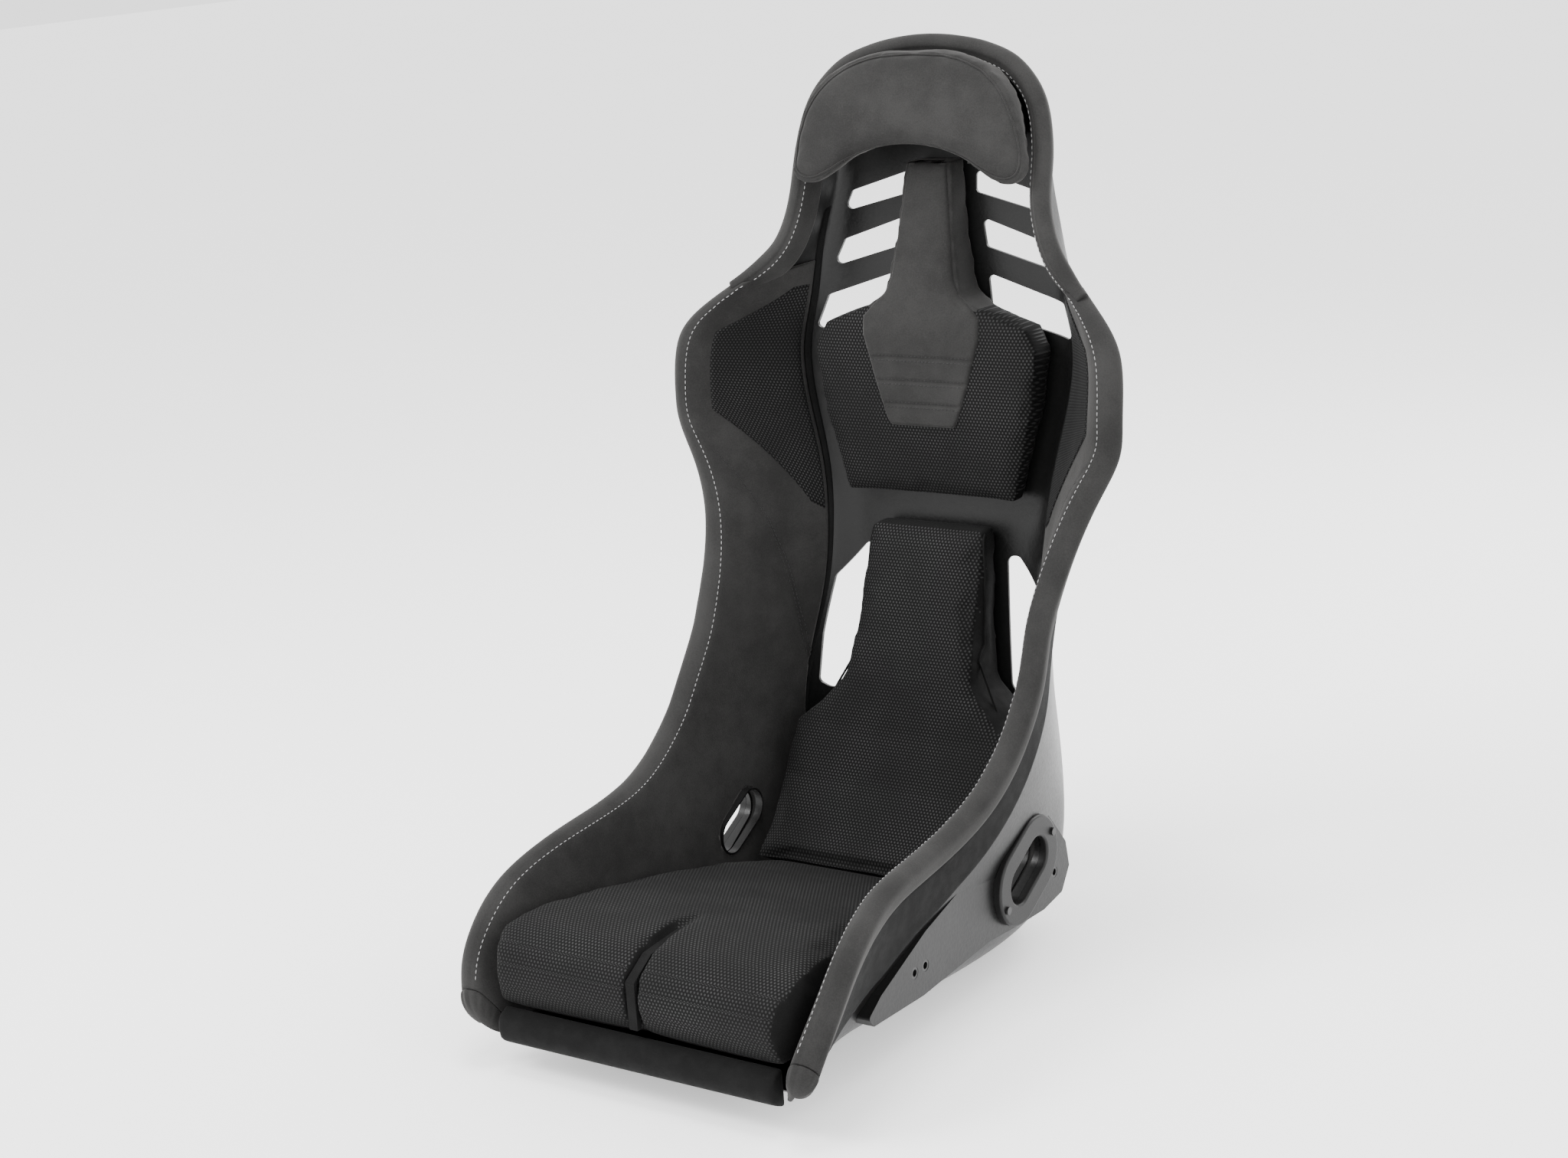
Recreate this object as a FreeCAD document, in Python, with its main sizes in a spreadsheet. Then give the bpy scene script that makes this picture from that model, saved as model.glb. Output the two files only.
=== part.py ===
"""Fixed-back racing seat: one-piece moulded shell, bolsters on its rim and four lift-off pads.

Frame: X across the seat (+X is the side on the viewer's right), -Y towards the driver's
knees, +Z up, millimetres. The origin is midway between the two rear side-mount holes.
The shell is described by stations: flat fans that hold the X direction and turn from the
seat pan (pointing up) to the backrest (pointing forward). Each station runs from a point
on the spine of the shell to a point on its rim.
"""
import os
import math
import FreeCAD
import Part
import Sketcher

Vector = FreeCAD.Vector
Rotation = FreeCAD.Rotation
Placement = FreeCAD.Placement

doc = FreeCAD.newDocument("racing_seat")

# ---------------------------------------------------------------- driving dimensions
SIZES = [
    ("overall_width", 590.0),
    ("pan_length", 560.0),
    ("back_height", 940.0),
    ("shell_thickness", 4.0),
    ("mount_width", 410.0),
    ("mount_spacing", 290.0),
    ("mount_extra_step", 22.0),
    ("mount_bolt_radius", 4.0),
    ("insert_radius", 6.5),
    ("insert_length", 9.0),
    ("hard_clearance", 0.3),
    ("soft_clearance", 0.8),
    ("belt_slot_length", 90.0),
    ("belt_slot_width", 44.0),
    ("bezel_rim", 25.0),
    ("bezel_height", 10.0),
    ("bezel_tilt", 27.0),
    ("belt_slot_back", 74.0),
    ("belt_slot_up", 31.0),
    ("sleeve_wall", 2.0),
    ("screw_pitch", 123.0),
    ("screw_radius", 2.5),
    ("screw_head_radius", 4.6),
    ("screw_head_height", 2.6),
    ("screw_length", 15.0),
    ("bolster_foot", 4.0),
    ("bolster_cheek", 11.0),
    ("bolster_crown", 19.0),
    ("bolster_over_rim", 10.0),
    ("strip_thickness", 2.0),
    ("pad_gap", 5.0),
    ("panel_thickness", 2.0),
    ("band_thickness", 2.5),
    ("roll_radius", 21.0),
    ("wrap_radius", 17.0),
    ("groove_width", 12.0),
]
sheet = doc.addObject("Spreadsheet::Sheet", "Sizes")
for row, (alias, number) in enumerate(SIZES, start=1):
    sheet.set("A%d" % row, alias)
    sheet.set("B%d" % row, str(number))
    sheet.setAlias("B%d" % row, alias)
doc.recompute()


def size(alias):
    return float(sheet.get(alias))


# nominal overall sizes that the station list is drawn at
NOMINAL_WIDTH = 590.0
NOMINAL_PAN = 560.0
NOMINAL_BACK = 940.0
wide = size("overall_width") / NOMINAL_WIDTH
deep = size("pan_length") / NOMINAL_PAN
tall = size("back_height") / NOMINAL_BACK

wall = size("shell_thickness")
soft_gap = size("soft_clearance")
hard_gap = size("hard_clearance")
side_face = size("mount_width") / 2


def at(x, y, z):
    """A point of the drawing, stretched with the overall sizes."""
    return Vector(x * wide, y * (deep if y < 0 else 1.0), z * (tall if z > 0 else 1.0))


# ---------------------------------------------------------------- the shell's stations
# spine (y, z), rim (x, y, z), half-width of the flat base, radius of its corner, and
# where the bolster's foot stands, as a share of the corner's arc
STATIONS = [
    ((-530, -44), (216, -546, -24), 188, 10, 0.35),
    ((-505, -45), (226, -532, 12), 165, 36, 0.35),
    ((-470, -47), (230, -504, 48), 145, 56, 0.35),
    ((-415, -53), (226, -455, 85), 126, 65, 0.35),
    ((-345, -61), (215, -382, 108), 118, 70, 0.35),
    ((-265, -70), (211, -312, 116), 116, 72, 0.35),
    ((-175, -79), (213, -240, 126), 115, 74, 0.35),
    ((-85, -85), (220, -178, 148), 114, 75, 0.35),
    ((0, -81), (225, -130, 180), 113, 76, 0.40),
    ((60, -52), (228, -97, 215), 112, 78, 0.55),
    ((90, 10), (228, -66, 256), 110, 78, 0.80),
    ((99, 95), (227, -45, 300), 106, 76, 0.95),
    ((106, 180), (230, -24, 340), 100, 72, 1.00),
    ((117, 265), (241, 1, 392), 98, 64, 1.05),
    ((130, 345), (262, 18, 446), 106, 58, 1.10),
    ((141, 425), (284, 25, 492), 122, 52, 1.15),
    ((150, 500), (289, 27, 535), 140, 48, 1.20),
    ((159, 570), (287, 35, 590), 150, 46, 1.20),
    ((166, 630), (266, 51, 632), 146, 40, 1.20),
    ((172, 685), (222, 80, 668), 140, 34, 1.20),
    ((178, 738), (184, 102, 703), 132, 28, 1.15),
    ((184, 790), (165, 116, 757), 124, 24, 1.10),
    ((190, 842), (162, 131, 808), 120, 22, 1.10),
    ((194, 885), (152, 145, 860), 108, 18, 1.10),
    ((193, 912), (132, 154, 892), 90, 14, 1.10),
    ((187, 928), (106, 160, 912), 66, 10, 1.10),
    ((178, 935), (72, 164, 924), 40, 6, 1.10),
]
LAST = len(STATIONS) - 1
STEPS_PER_STATION = 3
ACROSS_COUNT = 16


def guide(points):
    """A smooth guide through one point per station; its parameter counts the stations."""
    curve = Part.BSplineCurve()
    curve.interpolate(Points=points, Parameters=[float(i) for i in range(len(points))])
    return curve


spine = guide([at(0, *station[0]) for station in STATIONS])
rim_line = guide([at(*station[1]) for station in STATIONS])
form = guide([Vector(station[2] * wide, *station[3:]) for station in STATIONS])


class Section:
    """One station: points are (distance along the inside from the middle, offset inwards)."""

    def __init__(self, station):
        self.middle = spine.value(station)
        rim = rim_line.value(station)
        shape = form.value(station)
        self.flat = shape.x
        rise = Vector(0, rim.y - self.middle.y, rim.z - self.middle.z)
        self.height = rise.Length
        self.up = rise / self.height
        self.radius = min(shape.y, 0.75 * self.height)
        across = rim.x - self.flat
        above = self.height - self.radius
        square = across * across + above * above
        self.wall_length = math.sqrt(square - self.radius ** 2)
        self.sine = (above * self.wall_length + across * self.radius) / square
        self.cosine = (across * self.wall_length - above * self.radius) / square
        self.turn = math.atan2(self.sine, self.cosine)
        self.corner_end = self.flat + self.radius * self.turn
        self.length = self.corner_end + self.wall_length
        self.foot = self.flat + shape.z * self.radius * self.turn

    def flat_point(self, along, offset):
        """The point in the station's own plane: across, and up from the spine."""
        if along <= self.flat:
            return along, offset
        if along <= self.corner_end:
            angle = (along - self.flat) / self.radius
            reach = self.radius - offset
            return self.flat + reach * math.sin(angle), self.radius - reach * math.cos(angle)
        past = along - self.corner_end
        reach = self.radius - offset
        x = self.flat + reach * self.sine + past * self.cosine
        return x, self.radius - reach * self.cosine + past * self.sine

    def point(self, along, offset, side=1):
        x, rise = self.flat_point(along, offset)
        return self.middle + self.up * rise + Vector(side * x, 0, 0)

    def spots(self, past_rim=0.0):
        """Evenly spaced distances from the middle to the rim, or a little past it."""
        return [(self.length + past_rim) * i / ACROSS_COUNT for i in range(ACROSS_COUNT + 1)]


def stations_between(first, last, steps=STEPS_PER_STATION):
    count = max(2, int(round((last - first) * steps)))
    return [first + (last - first) * i / count for i in range(count + 1)]


def surface(rows):
    skin = Part.BSplineSurface()
    skin.interpolate(rows)
    return skin.toShape()


FORWARD = 1


def skin_solid(near, far):
    """A closed solid between two grids of points with the same layout."""
    first = surface(near)
    second = surface(far)
    faces = [first, second]
    for low, high in zip(first.Edges, second.Edges):
        faces.append(Part.makeRuledSurface(low, high, FORWARD))
    shell = Part.makeShell(faces)
    solid = Part.Solid(shell)
    if solid.Volume < 0:
        solid = Part.Solid(shell.reversed())
    return solid


def both_sides(section, spots, offsets):
    """One row of a grid across the seat, from the left rim to the right rim."""
    pairs = list(zip(spots, offsets))
    left = [section.point(along, offset, -1) for along, offset in reversed(pairs[1:])]
    right = [section.point(along, offset) for along, offset in pairs]
    return left + right


def shell_grid(offset, first=0.0, last=LAST):
    rows = []
    for station in stations_between(first, last):
        section = Section(station)
        spots = section.spots()
        rows.append(both_sides(section, spots, [offset] * len(spots)))
    return rows


# ---------------------------------------------------------------- the bolster's profile
foot_high = size("bolster_foot")
cheek_high = size("bolster_cheek")
crown_high = size("bolster_crown")
over_rim = size("bolster_over_rim")
OUTER_LIP = 6.0
CROWN_LIMIT = 0.42


def cover_points(width):
    """The bolster's outside: (distance past the rim, offset), from its foot round to its lip."""
    crown = min(crown_high, CROWN_LIMIT * width)
    cheek = min(cheek_high, 0.8 * crown)
    low = min(foot_high, 0.5 * crown)
    return [
        (-width, low),
        (-0.82 * width, low + 0.55 * (cheek - low)),
        (-0.62 * width, cheek),
        (-0.40 * width, 0.5 * (cheek + crown)),
        (-0.20 * width, 0.95 * crown),
        (-0.06 * width, crown),
        (0.55 * over_rim, 0.74 * crown),
        (over_rim, 0.25 * crown),
        (over_rim, -0.6 * wall),
        (0.6 * over_rim, -wall - 0.7 * OUTER_LIP),
        (1.0, -wall - OUTER_LIP),
    ]


def cover_curve(width):
    curve = Part.BSplineCurve()
    curve.interpolate(Points=[Vector(past, offset, 0) for past, offset in cover_points(width)])
    return curve


def smooth_cover(width, count):
    """The outside again as evenly spaced points on a smooth curve."""
    curve = cover_curve(width)
    points = curve.discretize(Number=count)
    return [(point.x, point.y) for point in points]


def cover_offset(section, along):
    """How far the bolster's outside stands off the shell at one distance from the middle."""
    width = section.length - section.foot
    points = smooth_cover(width, 40)
    past = along - section.length
    if past <= points[0][0]:
        return points[0][1]
    for (x0, y0), (x1, y1) in zip(points, points[1:]):
        if x0 <= past <= x1:
            return y0 + (y1 - y0) * (past - x0) / (x1 - x0)
    return max(y for x, y in points)


BEHIND_ROOM = 75.0
PAST_RIM = 30.0
ROOM_MARGIN = 1.5
ROOM_LAST = 23.5


def room_grid(offset, last):
    rows = []
    for station in stations_between(0.0, last):
        section = Section(station)
        spots = section.spots(PAST_RIM)
        rows.append(both_sides(section, spots, [offset] * len(spots)))
    return rows


def outside_room(offset, last):
    """All that lies from an offset off the shell's inside to well behind its back."""
    return skin_solid(room_grid(offset, last), room_grid(-BEHIND_ROOM, last))


def feature(name, shape):
    """Free-form pieces, which no sketch or primitive describes."""
    piece = doc.addObject("Part::Feature", name)
    piece.Shape = shape
    piece.Label = name
    return piece


def plane_of(body, role):
    for origin_part in body.Origin.OriginFeatures:
        if origin_part.Role == role:
            return origin_part
    raise ValueError(role)


# ---------------------------------------------------------------- prisms from sketches
def join_corners(sketch, first, count):
    """Ends of the numbered lines or arcs meet in turn, and the last meets the first."""
    for i in range(count):
        following = first + (i + 1) % count
        sketch.addConstraint(Sketcher.Constraint("Coincident", first + i, 2, following, 1))


def closed_lines(sketch, points):
    """A closed outline of straight lines."""
    corners = [Vector(x, y, 0) for x, y in points]
    for here, after in zip(corners, corners[1:] + corners[:1]):
        sketch.addGeometry(Part.LineSegment(here, after), False)
    join_corners(sketch, 0, len(points))


LAID_FLAT = Rotation()
FACING_FRONT = Rotation(Vector(1, 0, 0), 90)
FACING_SIDE = Rotation(Vector(1, 1, 1), 120)


def sketch_lines(name, points, turn, base=Vector(), smooth=False):
    """A closed outline in a plane: straight lines, or one smooth closed curve."""
    sketch = doc.addObject("Sketcher::SketchObject", name + "_outline")
    sketch.Placement = Placement(base, turn)
    if smooth:
        curve = Part.BSplineCurve()
        curve.interpolate(Points=[Vector(x, y, 0) for x, y in points], PeriodicFlag=True)
        sketch.addGeometry(curve, False)
    else:
        closed_lines(sketch, points)
    return sketch


def prism(name, points, turn, start, end, smooth=False, corner=0.0):
    """A sketch pushed along its normal from start to end, with its long corners rounded."""
    sketch = sketch_lines(name, points, turn, turn.multVec(Vector(0, 0, start)), smooth)
    block = doc.addObject("Part::Extrusion", name + "_block")
    block.Base = sketch
    block.DirMode = "Normal"
    block.LengthFwd = end - start
    block.Solid = True
    if not corner:
        return block
    doc.recompute()
    along = turn.multVec(Vector(0, 0, 1))
    rounded = doc.addObject("Part::Fillet", name + "_rounded")
    rounded.Base = block
    picks = []
    for number, edge in enumerate(block.Shape.Edges, start=1):
        if len(edge.Vertexes) != 2 or edge.Curve.TypeId != "Part::GeomLine":
            continue
        direction = edge.Vertexes[1].Point - edge.Vertexes[0].Point
        if direction.cross(along).Length < 1e-3 * direction.Length:
            picks.append((number, corner, corner))
    rounded.Edges = picks
    return rounded


def mirror_outline(points):
    """The right half of an outline, listed from top to bottom, closed with its mirror image."""
    left = [(-x, z) for x, z in reversed(points) if x > 0]
    return points + left


def combine(kind, name, pieces, label=None):
    piece = doc.addObject(kind, name)
    if kind == "Part::Cut":
        piece.Base, piece.Tool = pieces
    else:
        piece.Shapes = pieces
    piece.Label = label or name
    return piece


def less(name, blank, keep_outs):
    """The blank with each keep-out cut away in turn."""
    for number, keep_out in enumerate(keep_outs, start=1):
        blank = combine("Part::Cut", "%s_cleared_%d" % (name, number), (blank, keep_out))
    return blank


def group_of(name, pieces):
    group = doc.addObject("Part::Compound", name)
    group.Links = pieces
    return group


NODES = []


def node(piece, name):
    """Marks a finished piece: its label names its file."""
    piece.Label = name
    NODES.append(piece)
    return piece


SIDES = (("left", -1), ("right", 1))


def front_view(points):
    """Outline points (x, z), stretched with the overall sizes."""
    return [(at(x, 0, z).x, at(x, 0, z).z) for x, z in points]


def side_view(points):
    """Outline points (y, z), stretched with the overall sizes."""
    return [(at(0, y, z).y, at(0, y, z).z) for y, z in points]


# ---------------------------------------------------------------- side hardware places
slot_middle = Vector(0, -size("belt_slot_back"), size("belt_slot_up"))
tilt = math.radians(size("bezel_tilt"))
mount_places = [
    (0.0, 0.0),
    (-size("mount_spacing"), 0.0),
    (-size("mount_spacing") - size("mount_extra_step"), 0.0),
]
screw_places = [
    (
        slot_middle.y + sign * size("screw_pitch") / 2 * math.cos(tilt),
        slot_middle.z + sign * size("screw_pitch") / 2 * math.sin(tilt),
    )
    for sign in (-1, 1)
]


def stadium(sketch, length, width, first):
    """A slot outline about the sketch's origin: two lines and two half circles."""
    half = (length - width) / 2
    reach = width / 2
    quarter = math.pi / 2
    left = Part.ArcOfCircle(Part.Circle(Vector(-half, 0, 0), Vector(0, 0, 1), reach), quarter, 3 * quarter)
    right = Part.ArcOfCircle(Part.Circle(Vector(half, 0, 0), Vector(0, 0, 1), reach), -quarter, quarter)
    sketch.addGeometry(left, False)
    sketch.addGeometry(Part.LineSegment(Vector(-half, -reach, 0), Vector(half, -reach, 0)), False)
    sketch.addGeometry(right, False)
    sketch.addGeometry(Part.LineSegment(Vector(half, reach, 0), Vector(-half, reach, 0)), False)
    join_corners(sketch, first, 4)


def stadium_prism(name, length, width, start, end):
    """A slot-shaped block along X through the belt slot's middle, on one side."""
    sketch = doc.addObject("Sketcher::SketchObject", name + "_outline")
    stadium(sketch, length, width, 0)
    turn = Rotation(Vector(1, 0, 0), size("bezel_tilt")).multiply(FACING_SIDE)
    sketch.Placement = Placement(slot_middle + Vector(start, 0, 0), turn)
    block = doc.addObject("Part::Extrusion", name + "_block")
    block.Base = sketch
    block.DirMode = "Normal"
    block.LengthFwd = end - start
    block.Solid = True
    return block


def cross_hole(name, place, radius_rule):
    """A round cutter right across the seat along X, sized from the sheet."""
    hole = doc.addObject("Part::Cylinder", name)
    hole.setExpression("Radius", radius_rule)
    hole.Height = 2 * side_face + 40
    hole.Placement = Placement(Vector(-side_face - 20, place[0], place[1]), Rotation(Vector(0, 1, 0), 90))
    return hole


# ---------------------------------------------------------------- the shell
SLOT_CORNER = 6.0
WINDOW_CORNER = 9.0
CHEVRON_SLOTS = [
    [(43, 786), (129, 760), (140, 735), (43, 760)],
    [(52, 731), (140, 702), (156, 669), (58, 697)],
    [(60, 667), (162, 635), (178, 592), (66, 620)],
]
LOWER_WINDOW = [
    (90, 336), (106, 337), (143, 296), (156, 225), (163, 164), (150, 154), (118, 168), (100, 182),
]
PLATEAU = [
    (-406, -14), (-380, 2), (-286, 38), (-215, 56), (-130, 80), (-95, 97), (-52, 99), (-12, 78),
    (30, 28), (36, -4), (16, -30), (-28, -36), (-80, -33), (-154, -26), (-297, -32), (-398, -26),
]
PLATEAU_CORNER = 4.0
BACK_REACH = 330.0

shell_blank = feature("shell_blank", skin_solid(shell_grid(0.0), shell_grid(-wall)))
behind_wall = feature("behind_wall", outside_room(-wall / 2, 15.0))
plateaus = []
for side_name, side in SIDES:
    low, high = sorted((side * (side_face - 26), side * side_face))
    block = prism("plateau_" + side_name, PLATEAU, FACING_SIDE, low, high, corner=PLATEAU_CORNER)
    plateaus.append(combine("Part::MultiCommon", "plateau_pad_" + side_name, [block, behind_wall]))
shell_body = combine("Part::MultiFuse", "shell_body", [shell_blank] + plateaus)

cutters = []
for side_name, side in SIDES:
    for number, outline in enumerate(CHEVRON_SLOTS, start=1):
        points = [(side * x, z) for x, z in front_view(outline)]
        name = "back_slot_%d_%s" % (number, side_name)
        cutters.append(prism(name, points, FACING_FRONT, -BACK_REACH, -100, corner=SLOT_CORNER))
    points = [(side * x, z) for x, z in front_view(LOWER_WINDOW)]
    cutters.append(
        prism("lower_window_" + side_name, points, FACING_FRONT, -BACK_REACH, -20, corner=WINDOW_CORNER)
    )
cutters.append(
    stadium_prism("belt_slot", size("belt_slot_length"), size("belt_slot_width"), -260, 260)
)
for number, place in enumerate(mount_places, start=1):
    cutters.append(
        cross_hole("insert_hole_%d" % number, place, "Sizes.insert_radius + Sizes.hard_clearance / 2")
    )
for number, place in enumerate(screw_places, start=1):
    cutters.append(cross_hole("screw_hole_%d" % number, place, "Sizes.screw_radius + Sizes.hard_clearance"))
shell_cutters = combine("Part::MultiFuse", "shell_cutters", cutters)
seat_shell = node(combine("Part::Cut", "seat_shell", (shell_body, shell_cutters)), "seat_shell")
doc.recompute()

# ---------------------------------------------------------------- bolsters on the rim
COVER_COUNT = 21
BOLSTER_FIRST = 0.35
BOLSTER_LAST = 18.95
HEAD_FIRST = 19.4


def bolster_rows(first, last, side, points_at):
    rows = []
    for station in stations_between(first, last):
        section = Section(station)
        pairs = points_at(section.length - section.foot)
        rows.append([section.point(section.length + past, offset, side) for past, offset in pairs])
    return rows


def cover_row(width):
    return smooth_cover(width, COVER_COUNT)


def contact_row(width):
    rise = width + soft_gap
    return [(-width + rise * i / (COVER_COUNT - 1), soft_gap) for i in range(COVER_COUNT)]


bolster_slot = stadium_prism(
    "bolster_slot",
    size("belt_slot_length") + 2 * (size("sleeve_wall") + hard_gap),
    size("belt_slot_width") + 2 * (size("sleeve_wall") + hard_gap),
    -260, 260,
)
for side_name, side in SIDES:
    contact = bolster_rows(BOLSTER_FIRST, BOLSTER_LAST, side, contact_row)
    cover = bolster_rows(BOLSTER_FIRST, BOLSTER_LAST, side, cover_row)
    foam = feature("bolster_foam_" + side_name, skin_solid(contact, cover))
    cut = combine("Part::Cut", "bolster_cut_" + side_name, (foam, bolster_slot))
    node(cut, "side_bolster_" + side_name)

def grown_cover(width):
    """The bolster's outside moved out by the pads' clearance from it."""
    return [
        (past - ROOM_MARGIN * (past < -0.9 * width), offset + ROOM_MARGIN)
        for past, offset in cover_row(width)
    ]


def sunk_contact(width):
    start = -width - ROOM_MARGIN
    return [(start - start * i / (COVER_COUNT - 1), -0.5 * wall) for i in range(COVER_COUNT)]


near_bolsters = []
for side_name, side in SIDES:
    grown = skin_solid(
        bolster_rows(BOLSTER_FIRST, BOLSTER_LAST, side, sunk_contact),
        bolster_rows(BOLSTER_FIRST, BOLSTER_LAST, side, grown_cover),
    )
    near_bolsters.append(feature("near_bolster_" + side_name, grown))


# The rim over the head: at each point the bolster's own axes are the way out of the
# shell (forward, flared outwards) and the way in, square to the rim.
FACE_LEAN = math.radians(17.8)
FLARE = math.radians(27.0)
face_normal = Vector(0, -math.cos(FACE_LEAN), math.sin(FACE_LEAN))
HEAD_FOOT = 26.0
HEAD_SIDE_STATIONS = [HEAD_FIRST] + [20 + 0.5 * i for i in range(12)]
HEAD_TOP_X = [40.0, 0.0]
HEAD_GAP = 2.4


def head_rim_path():
    """Points of the rim from the right shoulder over the head to the left shoulder."""
    right = [rim_line.value(station) for station in HEAD_SIDE_STATIONS]
    top = [at(0, *STATIONS[-1][0]), rim_line.value(LAST)]
    for x in HEAD_TOP_X:
        share = x / top[1].x
        right.append(Vector(x, top[0].y + (top[1].y - top[0].y) * share ** 2,
                            top[0].z + (top[1].z - top[0].z) * share ** 2))
    left = [Vector(-point.x, point.y, point.z) for point in reversed(right[:-1])]
    return right + left


def head_rows(points_at):
    path = head_rim_path()
    curve = Part.BSplineCurve()
    curve.interpolate(Points=path)
    rows = []
    for point in path:
        place = curve.parameter(point)
        tangent = curve.tangent(place)[0]
        outward = face_normal.cross(tangent)
        if outward.dot(point - at(0, 150, 820)) < 0:
            outward = -outward
        outward.normalize()
        way_out = face_normal * math.cos(FLARE) + outward * math.sin(FLARE)
        inward = face_normal * math.sin(FLARE) - outward * math.cos(FLARE)
        pairs = points_at(HEAD_FOOT)
        rows.append([point + way_out * past + inward * offset for past, offset in pairs])
    return rows


def head_contact(width):
    rise = width + soft_gap
    return [(-width + rise * i / (COVER_COUNT - 1), HEAD_GAP) for i in range(COVER_COUNT)]


def head_cover(width):
    """A thinner, rounder roll than the side bolsters."""
    points = [
        (-width, HEAD_GAP + 2.0), (-0.7 * width, 8.0), (-0.35 * width, 11.0), (0.0, 11.0),
        (0.6 * over_rim, 8.5), (over_rim, 2.5), (over_rim, -0.6 * wall),
        (0.6 * over_rim, -wall - 0.7 * OUTER_LIP), (soft_gap + 0.2, -wall - OUTER_LIP),
    ]
    curve = Part.BSplineCurve()
    curve.interpolate(Points=[Vector(past, offset, 0) for past, offset in points])
    return [(point.x, point.y) for point in curve.discretize(Number=COVER_COUNT)]


head_rim = feature("head_rim_roll", skin_solid(head_rows(head_contact), head_rows(head_cover)))
node(head_rim, "head_rim_bolster")


# ---------------------------------------------------------------- thin pieces on the shell
def patch(first, last, near_edge, far_edge, near_offset, far_offset, side, count=5, steps=3):
    """A thin solid that follows the shell; its edges are functions of the section."""
    lower, upper = [], []
    for station in stations_between(first, last, steps):
        section = Section(station)
        start = near_edge(section, station)
        end = far_edge(section, station)
        spots = [start + (end - start) * i / (count - 1) for i in range(count)]
        lower.append([section.point(a, near_offset(section, a), side) for a in spots])
        upper.append([section.point(a, far_offset(section, a), side) for a in spots])
    return skin_solid(lower, upper)


def level(offset):
    return lambda section, along: offset


def between(pairs, station):
    """A value read off a short list of (station, value) pairs, with straight runs between."""
    if station <= pairs[0][0]:
        return pairs[0][1]
    for (x0, y0), (x1, y1) in zip(pairs, pairs[1:]):
        if station <= x1:
            return y0 + (y1 - y0) * (station - x0) / (x1 - x0)
    return pairs[-1][1]


BAND_WIDTHS = [
    (0.4, 40), (1, 52), (2, 78), (3, 96), (4, 92), (5, 74), (6, 62), (7, 58), (8, 56), (12, 52), (18, 46),
]
STRIP_WIDTHS = [(10.5, 7), (14, 8), (16, 10), (20, 10)]
PANEL_SHARE = [(14.2, 0.12), (15.6, 0.86), (17.4, 0.86), (18.4, 0.2)]
band = size("band_thickness")
strip = size("strip_thickness")
panel = size("panel_thickness")
PANEL_GAP = 0.9
panel_near = lambda section, along: cover_offset(section, along) + PANEL_GAP
panel_far = lambda section, along: cover_offset(section, along) + PANEL_GAP + panel

for side_name, side in SIDES:
    outer_band = patch(
        0.6, 18.0,
        lambda section, station: section.length - 2.0 - between(BAND_WIDTHS, station),
        lambda section, station: section.length - 2.0,
        level(-wall - soft_gap), level(-wall - soft_gap - band), side,
    )
    node(feature("outer_velour_" + side_name, outer_band), "outer_band_" + side_name)
    inner_strip = patch(
        10.6, 20.2,
        lambda section, station: section.foot - 1.0 - between(STRIP_WIDTHS, station),
        lambda section, station: section.foot - 1.0,
        level(hard_gap), level(hard_gap + strip), side,
    )
    node(feature("inner_velour_" + side_name, inner_strip), "inner_strip_" + side_name)
    mesh_panel = patch(
        14.2, 18.4,
        lambda section, station: section.foot + 5.0,
        lambda section, station: section.foot + 5.0
        + between(PANEL_SHARE, station) * (section.length - section.foot - 10.0),
        panel_near, panel_far, side, count=9,
    )
    node(feature("shoulder_mesh_" + side_name, mesh_panel), "shoulder_panel_" + side_name)
    tab = patch(
        10.15, 10.45,
        lambda section, station: section.foot - 16.0,
        lambda section, station: section.foot - 2.0,
        level(hard_gap), level(hard_gap + strip), side, steps=8,
    )
    node(feature("tab_" + side_name, tab), "window_tab_" + side_name)


# ---------------------------------------------------------------- hardware on the sides
def new_body(name, turn, base):
    body = doc.addObject("PartDesign::Body", name)
    body.Placement = Placement(base, turn)
    return body


def flat_sketch(body, name, role="XY_Plane"):
    sketch = body.newObject("Sketcher::SketchObject", name)
    sketch.AttachmentSupport = [(plane_of(body, role), "")]
    sketch.MapMode = "FlatFace"
    return sketch


def pad_feature(body, name, sketch, length_rule, reverse=False):
    pad = body.newObject("PartDesign::Pad", name)
    pad.Profile = sketch
    pad.setExpression("Length", length_rule)
    pad.Reversed = reverse
    sketch.Visibility = False
    return pad


def circle_sketch(body, name, centres, radius):
    sketch = flat_sketch(body, name)
    for x, y in centres:
        sketch.addGeometry(Part.Circle(Vector(x, y, 0), Vector(0, 0, 1), radius), False)
    return sketch


def outward_turn(side):
    """Local Z points out of that side of the seat, local X along the tilted belt slot."""
    lean = Rotation(Vector(1, 0, 0), size("bezel_tilt"))
    facing = FACING_SIDE if side > 0 else FACING_SIDE.multiply(Rotation(Vector(1, 0, 0), 180))
    return lean.multiply(facing)


BEZEL_EDGE = 3.0
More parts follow.
